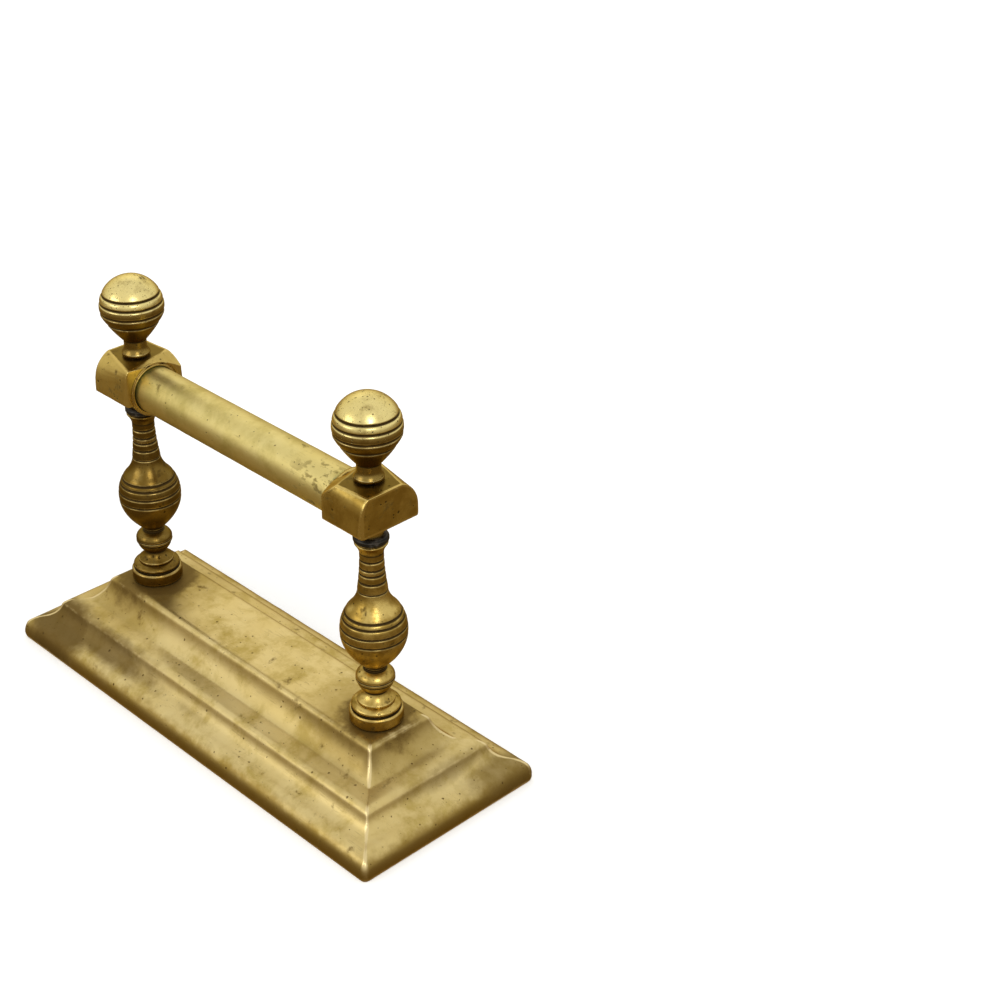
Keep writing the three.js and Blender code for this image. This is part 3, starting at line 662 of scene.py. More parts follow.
def at_rear(tree, here):
    """1 on the rear pieces and 0 on the front ones."""
    return ease(tree, only(tree, here, "X"), 20 * MM, -20 * MM)


def post_stains(tree, here, colour, deep):
    """The rear post stands nearer the fire and is browner."""
    patches = ease(tree, clouds(tree, here, 12.0, seed=43), 0.1, 0.45)
    rear = times(tree, at_rear(tree, here), patches)
    return tint(tree, times(tree, rear, 0.85), colour, REAR_POST_BROWN), deep


def block_stains(tree, here, colour, deep):
    """The rear block is the paler. The flat tops, which no cloth reaches, have gone brown."""
    colour = tint(tree, times(tree, at_rear(tree, here), 0.55), colour, REAR_BLOCK_PALE)
    uneven = times(tree, clouds(tree, here, 5.0, seed=47), 0.06)
    flat = ease(tree, plus(tree, mark(tree, "top"), uneven), 0.96, 1.0)
    return tint(tree, times(tree, flat, 0.92), colour, BLOCK_TOP_BROWN), deep


TURNED_BRASS = old_brass(
    "worn_turned_brass", clean=(0.64, 0.47, 0.15), aged=(0.33, 0.21, 0.042),
    dark=(0.045, 0.026, 0.007), shine=0.27, patch=9, cover=0.55, stains=0.2, pits=(2.2, 0.22),
    lines=((0.004, 0.004, 0.0007), 0.08, (30, 30, 0.35), 0.25), own=post_stains,
    rub=(0.85, 0.5), dirt=(0.12, 0.2), under_shade_share=0.6)
BLOCK_BRASS = old_brass(
    "worn_block_brass", clean=(0.56, 0.40, 0.11), aged=(0.37, 0.235, 0.045),
    dark=(0.10, 0.058, 0.012), shine=0.31, patch=10, cover=0.55, stains=0.2, pits=(2.4, 0.25),
    lines=((0.012, 0.0012, 0.0012), 0.12, None, 0), own=block_stains, rub=(0.20, 0.4),
    dirt=(0.2, 0.3), under_shade_share=0.7)

# %% Brass of the ball finials
FINIAL_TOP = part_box("front_ball_finial")[1].z
# The colour of the painted shade on the lower part of each ball.
BALL_SHADE_BROWN = (0.20, 0.12, 0.022)


def finial_lower_shade(tree, here, colour, deep):
    """Painted shade: a ball browns from its second line down."""
    below = minus(tree, FINIAL_TOP, only(tree, here, "Z"))
    brown = times(tree, ease(tree, below, 12.0 * MM, 17.0 * MM), 0.9)
    return tint(tree, brown, colour, BALL_SHADE_BROWN), deep


FINIAL_BRASS = old_brass(
    "worn_finial_brass", clean=(0.80, 0.66, 0.27), aged=(0.20, 0.115, 0.018),
    dark=(0.05, 0.028, 0.007), shine=0.27, patch=9, cover=0.12, stains=0.12, pits=(1.3, 0.5),
    lines=((0.004, 0.004, 0.0009), 0.10, (30, 30, 0.4), 0.15), own=finial_lower_shade,
    rub=(0.85, 0.5), dirt=(0.26, 0.2), under_shade_share=0.95)

# %% Brass of the tube
VERDIGRIS = (0.13, 0.17, 0.07)


def tube_stains(tree, here, colour, deep):
    """Verdigris at both ends of the tube and slanting tarnish marks near the front one."""
    x = only(tree, here, "X")
    uneven = times(tree, clouds(tree, here, 3.0, seed=31), 5 * MM)
    ends = plus(tree, maths(tree, "ABSOLUTE", x), uneven)
    green = ease(tree, ends, 72.5 * MM, 75.5 * MM)
    colour = tint(tree, times(tree, green, 0.85), colour, VERDIGRIS)
    slanting = clouds(tree, stretched(tree, here, 1.0, 0.6, 0.6), 5.5, seed=37)
    marks = ease(tree, slanting, 0.52, 0.60)
    near_front = ease(tree, x, 34 * MM, 66 * MM)
    near_side = ease(tree, only(tree, here, "Y"), 5 * MM, -6 * MM)
    marks = times(tree, marks, times(tree, near_front, near_side))
    return colour, larger(tree, deep, times(tree, marks, 0.75))


BAR_BRASS = old_brass(
    "worn_bar_brass", clean=(0.74, 0.62, 0.26), aged=(0.56, 0.455, 0.15), dark=(0.17, 0.12, 0.03),
    shine=0.42, patch=15, cover=0.35, stains=0.1, pits=(1.5, 0.07),
    lines=((0.06, 0.0012, 0.0012), 0.08, (40, 0.5, 0.5), 0.12), own=tube_stains, under_shade_share=0.45)

# %% [markdown]
# ### Iron and the raw casting
# The washers are iron with a black skin that catches a soft light. The fasteners under the base
# are rusty. The inside of the base is as it came from the sand mould: coarse, dull and brown.

# %% Iron
IRON_GLANCE = (1.0, 0.88, 0.74, 1)
WORN_IRON = (0.06, 0.055, 0.048)
IRON_RELIEF = 0.15 * MM


def old_iron(name, skin, rust, rust_cover, shine):
    """Iron under a dark skin, with rust that comes through in patches."""
    material, tree, surface = new_material(name)
    surface["Specular Tint"].default_value = IRON_GLANCE
    here = place(tree, "ShaderNodeTexCoord").outputs["Object"]
    patches = use(tree, TARNISH, here, {"Patch Size": 4.0, "Cover": rust_cover,
                                        "Softness": 0.08, "Seed": 9.0})
    edge = use(tree, RUBBED_EDGE_HIGHLIGHT, here, {"Start": 0.4, "Patchiness": 0.5})
    colour = tint(tree, patches, skin, rust)
    colour = tint(tree, times(tree, edge, 0.5), colour, WORN_IRON)
    tree.links.new(colour, surface["Base Color"])
    tree.links.new(plus(tree, times(tree, patches, 0.35), shine), surface["Roughness"])
    tree.links.new(minus(tree, 0.9, times(tree, patches, 0.8)), surface["Metallic"])
    grain = clouds(tree, here, 0.8, detail=6, roughness=0.7, seed=41)
    relief = times(tree, grain, plus(tree, patches, 0.3))
    bump = place(tree, "ShaderNodeBump", {"Height": relief, "Distance": IRON_RELIEF})
    tree.links.new(bump.outputs["Normal"], surface["Normal"])
    return material


BLACK_IRON = old_iron("black_iron_skin", (0.013, 0.012, 0.010), (0.035, 0.025, 0.017), 0.25, 0.33)
RUSTY_IRON = old_iron("rusty_iron", (0.09, 0.075, 0.065), (0.17, 0.075, 0.03), 0.75, 0.45)

# %% The raw inside of the casting
RAW_BRASS = old_brass(
    "raw_cast_brass", clean=(0.33, 0.24, 0.09), aged=(0.17, 0.11, 0.04), dark=(0.06, 0.04, 0.018),
    shine=0.58, patch=12, cover=0.6, stains=0.35, pits=(2.2, 0.5),
    lines=((0.01, 0.01, 0.01), 1.6, None, 0), rub=(0.8, 0.3), under_shade_share=0.2)
print("materials:", [m.name for m in bpy.data.materials])

# %% [markdown]
# ## Outlines of turned work
# A lathe cuts a piece from its outline alone. The outlines here are written as the sharp drawing
# that a turner works from, as (radius, height) points. worn_outline then walks along the
# drawing in tiny steps and averages it a little, as years of polishing do to every corner, and
# keeps only the points that the shape needs.

# %% Outline helpers
FINE_STEP = 0.15
LONGEST_GAP = 0.9
LEAST_TURN = 0.06


def bowed(start, end, bulge, steps=12):
    """Points from start to end. The run bows outwards by bulge halfway up (inwards if negative)."""
    (r0, z0), (r1, z1) = start, end
    run = []
    for i in range(steps + 1):
        t = i / steps
        run.append((r0 + (r1 - r0) * t + bulge * 4 * t * (1 - t), z0 + (z1 - z0) * t))
    return run


def domed(full, centre, start_height, end_height, other_radius, other_height, steps=14):
    """Part of an ellipse that is full at the centre height and other_radius further along."""
    reach = abs(other_height - centre) / math.sqrt(1 - (other_radius / full) ** 2)
    run = []
    for i in range(steps + 1):
        z = start_height + (end_height - start_height) * i / steps
        run.append((full * math.sqrt(max(0, 1 - ((z - centre) / reach) ** 2)), z))
    return run


def scribed(points, lines, width, depth):
    """Presses a smooth groove into the outline at each height in lines."""
    cut = []
    for r, z in points:
        dip = max((math.exp(-((z - line) / (width / 2)) ** 2) for line in lines), default=0)
        cut.append((r - depth * dip, z))
    return cut


def worn_outline(points, wear=0.22, lines=(), line_width=0.9, line_depth=0.5):
    """The drawing's corners softened over about wear millimetres, then scribed, then thinned."""
    points = np.array(points, float)
    steps = np.hypot(*np.diff(points, axis=0).T)
    along = np.concatenate([[0], np.cumsum(steps)])
    places = np.linspace(0, along[-1], max(2, int(along[-1] / FINE_STEP)))
    fine = np.stack([np.interp(places, along, points[:, k]) for k in (0, 1)], 1)
    reach = int(3 * wear / FINE_STEP) + 1
    weights = np.exp(-0.5 * (np.arange(-reach, reach + 1) * FINE_STEP / wear) ** 2)
    weights /= weights.sum()
    padded = np.concatenate([2 * fine[0] - fine[reach:0:-1], fine,
                             2 * fine[-1] - fine[-2:-reach - 2:-1]])
    soft = np.stack([np.convolve(padded[:, k], weights, "valid") for k in (0, 1)], 1)
    soft[:, 0] = np.maximum(soft[:, 0], 0)
    soft = np.array(scribed(soft, lines, line_width, line_depth))
    kept = [0]
    for i in range(1, len(soft) - 1):
        gone = np.hypot(*(soft[i] - soft[kept[-1]]))
        one = soft[i] - soft[kept[-1]]
        two = soft[i + 1] - soft[i]
        turn = abs(one[0] * two[1] - one[1] * two[0]) / (np.hypot(*one) * np.hypot(*two) + 1e-9)
        if gone > LONGEST_GAP or turn > LEAST_TURN:
            kept.append(i)
    kept.append(len(soft) - 1)
    return [tuple(soft[i]) for i in kept]


# %% [markdown]
# ## From outline to turned piece
# The outline is swept round its axis in equal turns, with one shared point wherever it touches
# the axis. Nothing turned by hand and polished for a century is quite round, so a smooth noise
# presses the surface in by a few hundredths of a millimetre. That is too little to see as shape,
# but it makes reflections waver as they do on real old brass.

# %% Turned pieces
TURNS = 88
ON_AXIS = 1e-4
SWAY_SIZE = 9.0
STEADY_WALL = 0.5


def hand_worn(points, depth, size, seed=0.0):
    """How far a smooth noise presses each point in, from 0 to depth."""
    pressed = []
    for x, y, z in points:
        sway = noise.noise(Vector((x / size + seed, y / size, z / size)))
        pressed.append(depth * (0.5 + 0.5 * sway))
    return pressed


def turned_piece(name, outline, axis_x, bottom, hole=None, sway=0.05, along_x=False):
    """Sweeps a worn outline round the upright axis at axis_x.

    With a hole radius, the piece is a sleeve; without one, the outline starts and ends on the
    axis. along_x lays it down, from axis_x along X, at the height given as bottom."""
    points, faces = [], []
    if hole is not None:
        outline = [(hole, outline[0][1])] + outline + [(hole, outline[-1][1])]
    rows = []
    for r, z in outline:
        if r < ON_AXIS:
            rows.append([len(points)])
            points.append((0.0, 0.0, z))
            continue
        row = []
        for k in range(TURNS):
            angle = 2 * math.pi * k / TURNS
            row.append(len(points))
            points.append((r * math.cos(angle), r * math.sin(angle), z))
        rows.append(row)
    pairs = list(zip(rows, rows[1:]))
    if hole is not None:
        pairs.append((rows[-1], rows[0]))
    for lower, upper in pairs:
        for k in range(TURNS):
            n = (k + 1) % TURNS
            if len(lower) == 1 and len(upper) == 1:
                break
            if len(lower) == 1:
                faces.append((lower[0], upper[n], upper[k]))
            elif len(upper) == 1:
                faces.append((lower[k], lower[n], upper[0]))
            else:
                faces.append((lower[k], lower[n], upper[n], upper[k]))
    press = hand_worn([(x + axis_x, y, z + bottom) for x, y, z in points], sway, SWAY_SIZE)
    placed = []
    for (x, y, z), inwards in zip(points, press):
        r = math.hypot(x, y)
        share = (r - inwards) / r if r > (hole or 0) + STEADY_WALL else 1
        x, y = x * share, y * share
        placed.append((z + axis_x, y, bottom - x) if along_x else (x + axis_x, y, z + bottom))
    return mesh_piece(name, placed, faces)


def dress(piece, material, node, body):
    """Gives a finished piece its wear marks, material and body, and hides its CAD node."""
    piece.data.materials.append(material)
    mark_wear(piece)
    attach(piece, body)
    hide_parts(node)
    print(piece.name, len(piece.data.polygons), "faces")


POSTS = {"front": FRONT_FOOT[0], "rear": REAR_FOOT[0]}
ROD_HOLE = 2.8


def on_both_posts(part, outline, bottom, material, node, slot, **settings):
    """The same turned piece on the front post and on the rear one."""
    for end, axis in POSTS.items():
        piece = turned_piece(f"{end}_{part}_turned", outline, axis, bottom, **settings)
        dress(piece, material, f"{end}_{node}", "stand")


# %% [markdown]
# ## Foot collars
# Each post stands on a separate ring: a wide plain band, a narrow groove, and a bead that the
# post's flared foot sits on.

# %% Foot collars
COLLAR = [(12.75, 0), (13.1, 0.7), (13.1, 5.5), (12.5, 6.3), (11.1, 6.35), (11.1, 6.85)]
COLLAR_BEAD = bowed((11.1, 6.9), (9.4, 10.3), 1.65)

on_both_posts("collar", worn_outline(COLLAR + COLLAR_BEAD, wear=0.2), FRONT_FOOT[2],
              TURNED_BRASS, "foot_collar", "turned_brass", hole=ROD_HOLE)

# %% [markdown]
# ## Baluster posts
# From the foot up: a hollow cone, a knop like a small cup with a domed lid, a thin waist with a
# bead, the vase, a hollow shoulder, a tapering neck and a flared lip. Four lines are scribed
# round the vase and four round the neck, and each change of section is a sharp step.

# %% Baluster posts
CONE = [(9.2, 0), (9.2, 0.9)] + bowed((9.2, 0.9), (5.5, 5.9), -0.9)
KNOP_CUP = domed(8.8, 11.3, 5.95, 11.2, 5.5, 5.9)
KNOP_LID = [(9.4, 11.45), (9.4, 12.5), (8.95, 12.85)] + domed(9.4, 13.3, 13.3, 17.9, 4.9, 17.9)
WAIST = [(4.9, 18.8), (5.35, 19.0), (5.35, 19.4)]
VASE_LOW = bowed((5.2, 19.6), (16.0, 40.0), 3.0, 24)
VASE_HIGH = domed(16.0, 40.0, 40.4, 51.8, 12.1, 51.8)
SHOULDER = bowed((11.65, 52.25), (7.2, 60.8), -0.8)
NECK = bowed((7.2, 61.7), (5.7, 80.8), -0.3)
LIP = bowed((5.7, 81.4), (7.9, 86.0), -0.35) + [(7.9, 86.4)]
KNEE = [(6.75, 61.25)]
POST = CONE + KNOP_CUP + KNOP_LID + WAIST + VASE_LOW + VASE_HIGH + SHOULDER + KNEE + NECK + LIP
POST_LINES = [37.9, 42.6, 47.0, 49.6, 66.4, 70.5, 73.4, 77.7]

outline = worn_outline(POST, wear=0.2, lines=POST_LINES, line_width=1.0, line_depth=0.55)
on_both_posts("post", outline, bottom_of("front_baluster_post"), TURNED_BRASS, "baluster_post",
              "turned_brass", hole=ROD_HOLE)

# %% [markdown]
# ## Iron washers
# A thick, round-edged iron washer sits between each post and its block.

# %% Iron washers
WASHER = bowed((7.2, 0), (7.2, 4.2), 1.3)

outline = worn_outline(WASHER, wear=0.25, lines=[2.1], line_width=0.7, line_depth=0.15)
on_both_posts("washer", outline, bottom_of("front_iron_washer"), BLACK_IRON, "iron_washer",
              "black_iron", hole=ROD_HOLE)

# %% [markdown]
# ## Ball finials
# A finial is turned in one piece: a small flange, a hollow neck, a pear-shaped swelling and the
# ball that it runs into, with one line scribed round the swelling and three round the ball. It
# screws onto the tie rod, so a blind hole runs up into it.

# %% Ball finials
FLANGE = [(7.1, 0), (7.1, 1.1)] + bowed((7.1, 1.1), (5.7, 5.0), -0.45)
PEAR = [(5.7, 7.85)] + bowed((6.4, 8.3), (15.566, 21.7), 0.6, 20)
BALL_RADIUS, BALL_MIDDLE = 16, 25.4
BALL_START = math.asin(-3.7 / BALL_RADIUS)
BALL_STEPS = 40
BALL = []
for step in range(BALL_STEPS):
    angle = BALL_START + (math.pi / 2 - BALL_START) * step / BALL_STEPS
    BALL.append((BALL_RADIUS * math.cos(angle), BALL_MIDDLE + BALL_RADIUS * math.sin(angle)))
BALL.append((0.0, BALL_MIDDLE + BALL_RADIUS))
FINIAL_LINES = [BALL_MIDDLE + height for height in (-7.6, -2.0, 2.9, 6.9)]
THREAD_DEPTH = 14.0

worn = worn_outline(FLANGE + PEAR + BALL, wear=0.2, lines=FINIAL_LINES, line_width=1.25,
                    line_depth=0.75)
worn[-1] = (0.0, worn[-1][1])
outline = [(0.0, THREAD_DEPTH), (ROD_HOLE, THREAD_DEPTH), (ROD_HOLE, 0.0)] + worn
on_both_posts("finial", outline, bottom_of("front_ball_finial"), FINIAL_BRASS, "ball_finial",
              "finial_brass", sway=0.08)

# %% [markdown]
# ## The tube between the blocks
# The rest bar is a drawn brass tube that lies in a shallow socket at each end. It is the one
# piece that can turn, so it rides on its own body.

# %% The tube
BAR_RADIUS = 12.0
BAR_BORE = 10.5
BAR_RIM = 0.25
BAR_ROW = 1.6
low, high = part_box("rest_bar")
BAR_LOW, BAR_HIGH = low.x / MM, high.x / MM
BAR_AXIS = (low.z + high.z) / 2 / MM
print("tube from", BAR_LOW, "to", BAR_HIGH, "mm, its axis at", BAR_AXIS)


def tube_outline(length):
    """A straight outline with bevelled ends, in rows close enough for the sway to show."""
    rows = [(BAR_RADIUS - BAR_RIM, 0.0), (BAR_RADIUS, BAR_RIM)]
    count = int(length / BAR_ROW)
    for i in range(1, count):
        rows.append((BAR_RADIUS, BAR_RIM + (length - 2 * BAR_RIM) * i / count))
    return rows + [(BAR_RADIUS, length - BAR_RIM), (BAR_RADIUS - BAR_RIM, length)]


tube = turned_piece("rest_tube", tube_outline(BAR_HIGH - BAR_LOW), BAR_LOW, BAR_AXIS,
                    hole=BAR_BORE, sway=0.10, along_x=True)
dress(tube, BAR_BRASS, "rest_bar", "bar")

# %% [markdown]
# ## Socket blocks
# Each block is a filed casting. Its underside and its face towards the bar are flat. Its top is
# flat, with long rounded shoulders that fall away towards the outer end, one side more than the
# other, as the file left them. Beyond a slanting line the top is filed down towards the bar too.
# A short boss under the block meets the washer. The bar's end sits in a shallow round socket.
#
# The block is put together from simple solids with boolean cuts. Then it is remeshed into small
# even faces and smoothed a little, which rounds every edge as filing and polishing do, and
# leaves a mesh that is fine enough everywhere for the wear marks.

# %% Block sizes
BLOCK_LENGTH, BLOCK_WIDTH, BLOCK_HEIGHT = 28.0, 35.5, 19.6
BLOCK_LEAN = 0.8
# Left and right side at both ends: half the flat top's width, and the shoulder's height.
AT_BAR = ((15.0, 6.0), (15.0, 7.5))
AT_END = ((7.4, 12.5), (12.6, 8.0))
SHOULDER_FULLNESS = 0.55
# The ends of the line that the top falls away from, and the fall for each millimetre beyond it.
# To the right of CORNER_FROM the fall grows, by SLANT_CORNER_FALL over CORNER_SPAN.
SLANT_LEFT, SLANT_RIGHT = (-14.0, 15.0), (-6.0, -14.5)
SLANT_FALL, SLANT_CORNER_FALL = 0.45, 0.5
CORNER_FROM, CORNER_SPAN = -9.0, 8.0
LOWER_ROUNDING = 2.0
CORNER_RADIUS = 2.4
BOSS_RADIUS, BOSS_HEIGHT = 6.0, 8.6
SOCKET_RADIUS, SOCKET_DEPTH = 12.3, 4.4
COLLAR_WALL, COLLAR_LENGTH = 1.4, 5.0
MOUTH_RADIUS, MOUTH_DEPTH = 14.1, 0.85
block_bottom = bottom_of("front_socket_block")
BAR_ABOVE_FOOT = BAR_AXIS - block_bottom


def curve_between(start, bend, end, steps=10):
    """Points on a curve that leaves start towards bend and arrives at end from it."""
    run = []
    for i in range(steps + 1):
        t = i / steps
        a, b, c = (1 - t) ** 2, 2 * t * (1 - t), t * t
        run.append((a * start[0] + b * bend[0] + c * end[0],
                    a * start[1] + b * bend[1] + c * end[1]))
    return run


def block_side(top, shoulder_height):
    """One side of the slab as (across, up) points, from its floor to its flat top."""
    foot, side = BLOCK_WIDTH / 2, BLOCK_WIDTH / 2 - BLOCK_LEAN
    shoulder = BLOCK_HEIGHT - shoulder_height
    full = (1 + SHOULDER_FULLNESS) / 2
    bend = (top + (side - top) * full, shoulder + shoulder_height * full)
    points = curve_between((foot - LOWER_ROUNDING, 0), (foot, 0), (foot, LOWER_ROUNDING), 4)
    return points + curve_between((side, shoulder), bend, (top, BLOCK_HEIGHT), 14)


def block_section(left, right):
    """One end of the slab, from the floor of its left side round to the right one."""
    return block_side(*left) + [(-across, up) for across, up in reversed(block_side(*right))]


def slant_off(block):
    """Files the top down towards the bar, beyond a slanting line, most at the right corner."""
    mesh = block.data
    places, _ = surface_of(mesh)
    run = np.array(SLANT_RIGHT) - SLANT_LEFT
    square = np.array((run[1], -run[0])) / np.hypot(*run)
    beyond = np.clip((places[:, :2] - SLANT_LEFT) @ square, 0, None)
    past = np.clip(CORNER_FROM - places[:, 1], 0, None)
    corner = past * SLANT_CORNER_FALL / CORNER_SPAN
    limit = BOSS_HEIGHT + BLOCK_HEIGHT - beyond * (SLANT_FALL + corner)
    places[:, 2] = np.minimum(places[:, 2], limit)
    mesh.vertices.foreach_set("co", (places * MM).ravel())


# %% Solids that the block is cut from
def grid_faces(rows, count, closed=False):
    """Faces between rings of count points. Closed joins the last ring to the first."""
    faces = []
    for row in range(rows if closed else rows - 1):
        here, above = row * count, (row + 1) % rows * count
        for k in range(count):
            n = (k + 1) % count
            faces.append((here + k, here + n, above + n, above + k))
    return faces


def ringed_solid(name, rings):
    """A solid through rings with equal point counts. Its last two faces close both ends."""
    count = len(rings[0])
    faces = grid_faces(len(rings), count)
    for row in (0, len(rings) - 1):
        faces.append(tuple(range(row * count, (row + 1) * count)))
    return mesh_piece(name, [point for ring in rings for point in ring], faces)


def loft(name, sections):
    """A solid through (place along X, [(across, up), ...]) sections."""
    return ringed_solid(name, [[(x, across, up) for across, up in section]
                               for x, section in sections])


def prism(name, outline, bottom, top):
    """A solid that stands on an (x, y) outline."""
    return ringed_solid(name, [[(x, y, z) for x, y in outline] for z in (bottom, top)])


def ring_points(radius, count=72):
    """Points round a circle."""
    turn = 2 * math.pi / count
    return [(radius * math.cos(i * turn), radius * math.sin(i * turn)) for i in range(count)]


def level_round(name, radius, start, stop, height):
    """A round bar along X at a height."""
    ring = [(y, height + z) for y, z in ring_points(radius)]
    return loft(name, [(start, ring), (stop, ring)])


def plan_outline(length, width, radius, steps=8):
    """A rectangle with round corners, seen from above."""
    outline = []
    for corner, (sx, sy) in enumerate(((1, 1), (-1, 1), (-1, -1), (1, -1))):
        for i in range(steps + 1):
            angle = (corner + i / steps) * math.pi / 2
            outline.append((sx * (length / 2 - radius) + radius * math.cos(angle),
                            sy * (width / 2 - radius) + radius * math.sin(angle)))
    return outline


def cut(piece, tool, operation):
    """Applies one boolean step and throws the tool away."""
    step = piece.modifiers.new(operation, "BOOLEAN")
    step.operation = operation
    step.object = tool
    step.solver = "EXACT"
    keep_modifiers(piece)
    bpy.data.objects.remove(tool)


def keep_modifiers(piece):
    """Makes the result of a piece's modifiers its own mesh."""
    bpy.context.view_layer.update()
    ready = piece.evaluated_get(bpy.context.evaluated_depsgraph_get())
    mesh = bpy.data.meshes.new_from_object(ready)
    piece.modifiers.clear()
    old = piece.data
    piece.data = mesh
    bpy.data.meshes.remove(old)


# %% Cast, file and place the blocks
VOXEL = 0.42
FILING_PASSES = 5
FILED_SWAY, FILED_SIZE = 0.18, 8.0
OVERCUT = 1.0
COLLAR_INSET = 0.3
MOUTH_OVERLAP = 0.02


def cast_block(name):
    """A block above its boss's foot at z = 0, its socket opening towards -X."""
    half, top = BLOCK_LENGTH / 2, BOSS_HEIGHT + BLOCK_HEIGHT
    ends = (block_section(*AT_BAR), block_section(*AT_END))
    raised = [[(y, z + BOSS_HEIGHT) for y, z in section] for section in ends]
    block = loft(name, [(-half, raised[0]), (half, raised[1])])

    def upright(label, outline, bottom, stop, operation):
        cut(block, prism(label, outline, bottom, stop), operation)

    def level(label, radius, start, stop, operation):
        tool = level_round(label, radius, -half + start, -half + stop, BAR_ABOVE_FOOT)
        cut(block, tool, operation)

    plan = plan_outline(BLOCK_LENGTH, BLOCK_WIDTH, CORNER_RADIUS)
    upright("plan", plan, BOSS_HEIGHT - OVERCUT, top + OVERCUT, "INTERSECT")
    level("collar", SOCKET_RADIUS + COLLAR_WALL, COLLAR_INSET, COLLAR_LENGTH, "UNION")
    upright("boss", ring_points(BOSS_RADIUS), 0, BOSS_HEIGHT + OVERCUT, "UNION")
    level("mouth", MOUTH_RADIUS - MOUTH_OVERLAP, -OVERCUT, MOUTH_DEPTH, "DIFFERENCE")
    level("socket", SOCKET_RADIUS, -OVERCUT, SOCKET_DEPTH, "DIFFERENCE")
    upright("rod_hole", ring_points(ROD_HOLE, 24), -OVERCUT, top + OVERCUT, "DIFFERENCE")
    even = block.modifiers.new("even", "REMESH")
    even.mode = "VOXEL"
    even.voxel_size = VOXEL * MM
    keep_modifiers(block)
    slant_off(block)
    filed = block.modifiers.new("filed", "SMOOTH")
    filed.factor = 0.5
    filed.iterations = FILING_PASSES
    keep_modifiers(block)
    return block


def place_block(block, axis, turned):
    """Sets a block on its post, turned end for end if asked, and gives it a hand-filed surface."""
    mesh = block.data
    places, normals = surface_of(mesh)
    if turned:
        places[:, :2] *= -1
        normals[:, :2] *= -1
    places += (axis, 0, block_bottom)
    press = np.array(hand_worn(places, FILED_SWAY, FILED_SIZE))
    places -= normals * press[:, None]
    mesh.vertices.foreach_set("co", (places * MM).ravel())
    mesh.update()
    mesh.shade_smooth()


for end, axis in POSTS.items():
    block = cast_block(end + "_block_filed")
    place_block(block, axis, end == "rear")
    dress(block, BLOCK_BRASS, end + "_socket_block", "stand")

# %% [markdown]
# ## Socket mouths
# Round the bar's end the block has a narrow bead, then a fine groove. Both are finer than the
# block's own mesh, so they are a turned ring of their own that is let into the block's face.

# %% Socket mouths
RING = [(12.3, -0.05), (12.45, 0.0), (12.9, 0.0), (13.05, 0.12), (13.1, 0.8), (14.0, 0.82),
        (14.1, 0.1)]
MOUTH_FOOT = 1.4


def socket_mouth(end, axis):
    """The ring round one socket, and the socket's wall behind it."""
    side = -1 if end == "front" else 1
    face = axis + side * BLOCK_LENGTH / 2
    outline = worn_outline([(r, 0.0 - z) for r, z in RING], wear=0.08)
    points = []
    outline = [(SOCKET_RADIUS, -SOCKET_DEPTH)] + outline + [(MOUTH_RADIUS, -MOUTH_FOOT)]
    for r, depth in outline:
        for y, z in ring_points(r, TURNS):
            points.append((face + side * depth, y, BAR_AXIS + z))
    faces = grid_faces(len(outline), TURNS, closed=True)
    mouth = mesh_piece(end + "_socket_mouth", points, faces)
    dress(mouth, BLOCK_BRASS, end + "_socket_block", "stand")


for end, axis in POSTS.items():
    socket_mouth(end, axis)

# %% [markdown]
# ## The stepped base
# The base is one hollow casting. Its moulding runs right round and meets in mitres at the
# corners: a rounded rim, a hollow, a sloping ledge, a second hollow and the edge of the top.
# The same loops then go on across the top, and inside they climb the walls of the hollow. Every
# loop has the same number of points, so the whole casting is one grid.

# %% Base sizes
BASE_LENGTH, BASE_WIDTH = 280.0, 110.0
BASE_HEIGHT = 38.4
OUTER_CORNER, MITRE_CORNER, HOLLOW_CORNER = 3.5, 0.5, 2.0
RUN_STEPS = 12
# The moulding's runs from the rim up: inwards, upwards and how far each swells.
RUNS = ((7.4, 9.5, 2.1), (9.0, 8.4, -1.9), (4.2, 2.6, 0.6), (6.9, 1.1, 0.0), (8.3, 11.6, -1.2),
        (3.0, 2.2, 0.5))


def bend_run(start, depth, rise, bulge, steps):
    """Moulding points after start that swell square to the run by bulge."""
    length = math.hypot(depth, rise)
    run = []
    for i in range(1, steps + 1):
        t = i / steps
        swell = bulge * 4 * t * (1 - t) / length
        run.append((start[0] + depth * t - rise * swell, start[1] + rise * t + depth * swell))
    return run


def moulding():
    """The outside from the floor to the top as (inset, height) points."""
    points = [(1.0, 0.0), (0.25, 1.1), (0.0, 3.0)]
    for depth, rise, bulge in RUNS:
        points += bend_run(points[-1], depth, rise, bulge, RUN_STEPS)
    return points


# The hollow's wall from the rim up to its roof, as (inset, height) points.
HOLLOW = [(6.5, 0.0), (10.9, 9.0), (20.7, 18.6), (31.0, 21.1), (42.3, 34.9)]


# %% Level loops
LONG_STEPS, SHORT_STEPS, CORNER_STEPS = 116, 44, 3
EVENNESS = 0.3


def eased(count):
    """Shares from 0 to 1 that lie closer together near both ends."""
    shares = []
    for i in range(count + 1):
        u = i / count
        shares.append(EVENNESS * u + (1 - EVENNESS) * (1 - math.cos(math.pi * u)) / 2)
    return shares


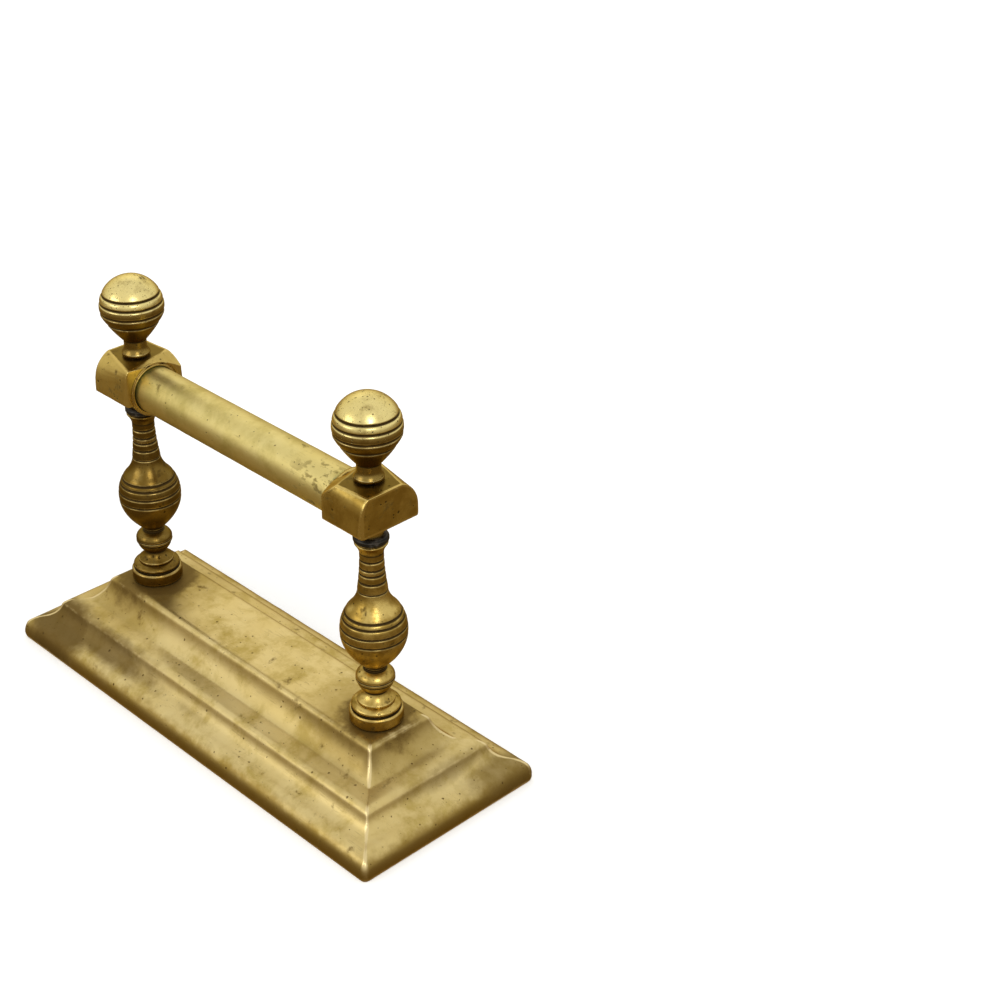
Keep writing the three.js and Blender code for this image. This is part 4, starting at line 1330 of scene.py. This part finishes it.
def level_loop(inset, height, radius):
    """One round-cornered rectangle of the base, as points in order."""
    half_x, half_y = BASE_LENGTH / 2 - inset, BASE_WIDTH / 2 - inset
    radius = min(radius, half_y * 0.9)
    loop = []
    corners = ((1, 1), (-1, 1), (-1, -1), (1, -1))
    for quarter, (sx, sy) in enumerate(corners):
        centre = (sx * (half_x - radius), sy * (half_y - radius))
        arc = []
        for i in range(CORNER_STEPS + 1):
            angle = (quarter + i / CORNER_STEPS) * math.pi / 2
            arc.append((centre[0] + radius * math.cos(angle), centre[1] + radius * math.sin(angle)))
        loop += arc
        nx, ny = corners[(quarter + 1) % 4]
        turn = (quarter + 1) * math.pi / 2
        start = arc[-1]
        stop = (nx * (half_x - radius) + radius * math.cos(turn),
                ny * (half_y - radius) + radius * math.sin(turn))
        steps = LONG_STEPS if quarter % 2 == 0 else SHORT_STEPS
        for share in eased(steps)[1:-1]:
            loop.append((start[0] + (stop[0] - start[0]) * share,
                         start[1] + (stop[1] - start[1]) * share))
    return [(x, y, height) for x, y in loop]


# %% Cast the base
TOP_LOOPS, WALL_LOOPS = 12, 5
TOP_GAP, ROOF_GAP = 0.35, 0.4
BASE_WEAR = 0.55
BIG_DENTS, SMALL_DENTS = (0.26, 20.0), (0.09, 7.0, 9.0)
FLOOR_BAND = 0.5


def worn_moulding():
    """The moulding with worn corners, plus loops that go on across the flat top."""
    outside = worn_outline(moulding(), wear=BASE_WEAR)
    edge = outside[-1][0]
    width = BASE_WIDTH / 2 - TOP_GAP - edge
    return outside + [(edge + width * i / TOP_LOOPS, BASE_HEIGHT)
                      for i in range(1, TOP_LOOPS + 1)]


def hollow_wall():
    """The hollow from its mouth up the wall and across the roof, as (inset, height) points."""
    roof = (BASE_WIDTH / 2 - ROOF_GAP, HOLLOW[-1][1])
    wall = []
    for start, stop in zip(HOLLOW, HOLLOW[1:] + [roof]):
        for i in range(WALL_LOOPS):
            wall.append(tuple(a + (b - a) * i / WALL_LOOPS for a, b in zip(start, stop)))
    return wall + [roof]


def cast_base():
    """The casting, from the roof of its hollow out to the rim and up over the top.

    It also gives the number of faces that belong to the hollow."""
    loops = [level_loop(i, z, HOLLOW_CORNER) for i, z in reversed(hollow_wall())]
    hollow_faces = (len(loops) - 1) * len(loops[0])
    loops += [level_loop(i, z, max(MITRE_CORNER, OUTER_CORNER - i)) for i, z in worn_moulding()]
    return ringed_solid("base_casting", loops), hollow_faces


def settle_base(base, hollow_faces):
    """Dents the casting a little, always inwards, and gives the hollow its raw material."""
    mesh = base.data
    places, normals = surface_of(mesh)
    dents = np.array(hand_worn(places, *BIG_DENTS)) + hand_worn(places, *SMALL_DENTS)
    dents[places[:, 2] < FLOOR_BAND] = 0
    places -= normals * dents[:, None]
    places[:, 2] = np.maximum(places[:, 2], 0)
    mesh.vertices.foreach_set("co", (places * MM).ravel())
    mesh.update()
    mesh.materials.append(BASE_BRASS)
    mesh.materials.append(RAW_BRASS)
    roof_cap = mesh.polygons[-2]
    for polygon in [*mesh.polygons[:hollow_faces], roof_cap]:
        polygon.material_index = 1


base, hollow_face_count = cast_base()
settle_base(base, hollow_face_count)
mark_wear(base, crest_reach=0.9, groove_reach=1.1)
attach(base, "stand")
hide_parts("stepped_base")
print("base", len(base.data.polygons), "faces")

# %% [markdown]
# ## Rods, nuts and washers under the base
# These keep the CAD model's own shapes and get the rusty iron.

# %% Fasteners
for end in POSTS:
    for part in ("tie_rod", "under_washer", "tie_nut"):
        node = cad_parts[f"{end}_{part}"]
        node.data.materials.clear()
        node.data.materials.append(RUSTY_IRON)
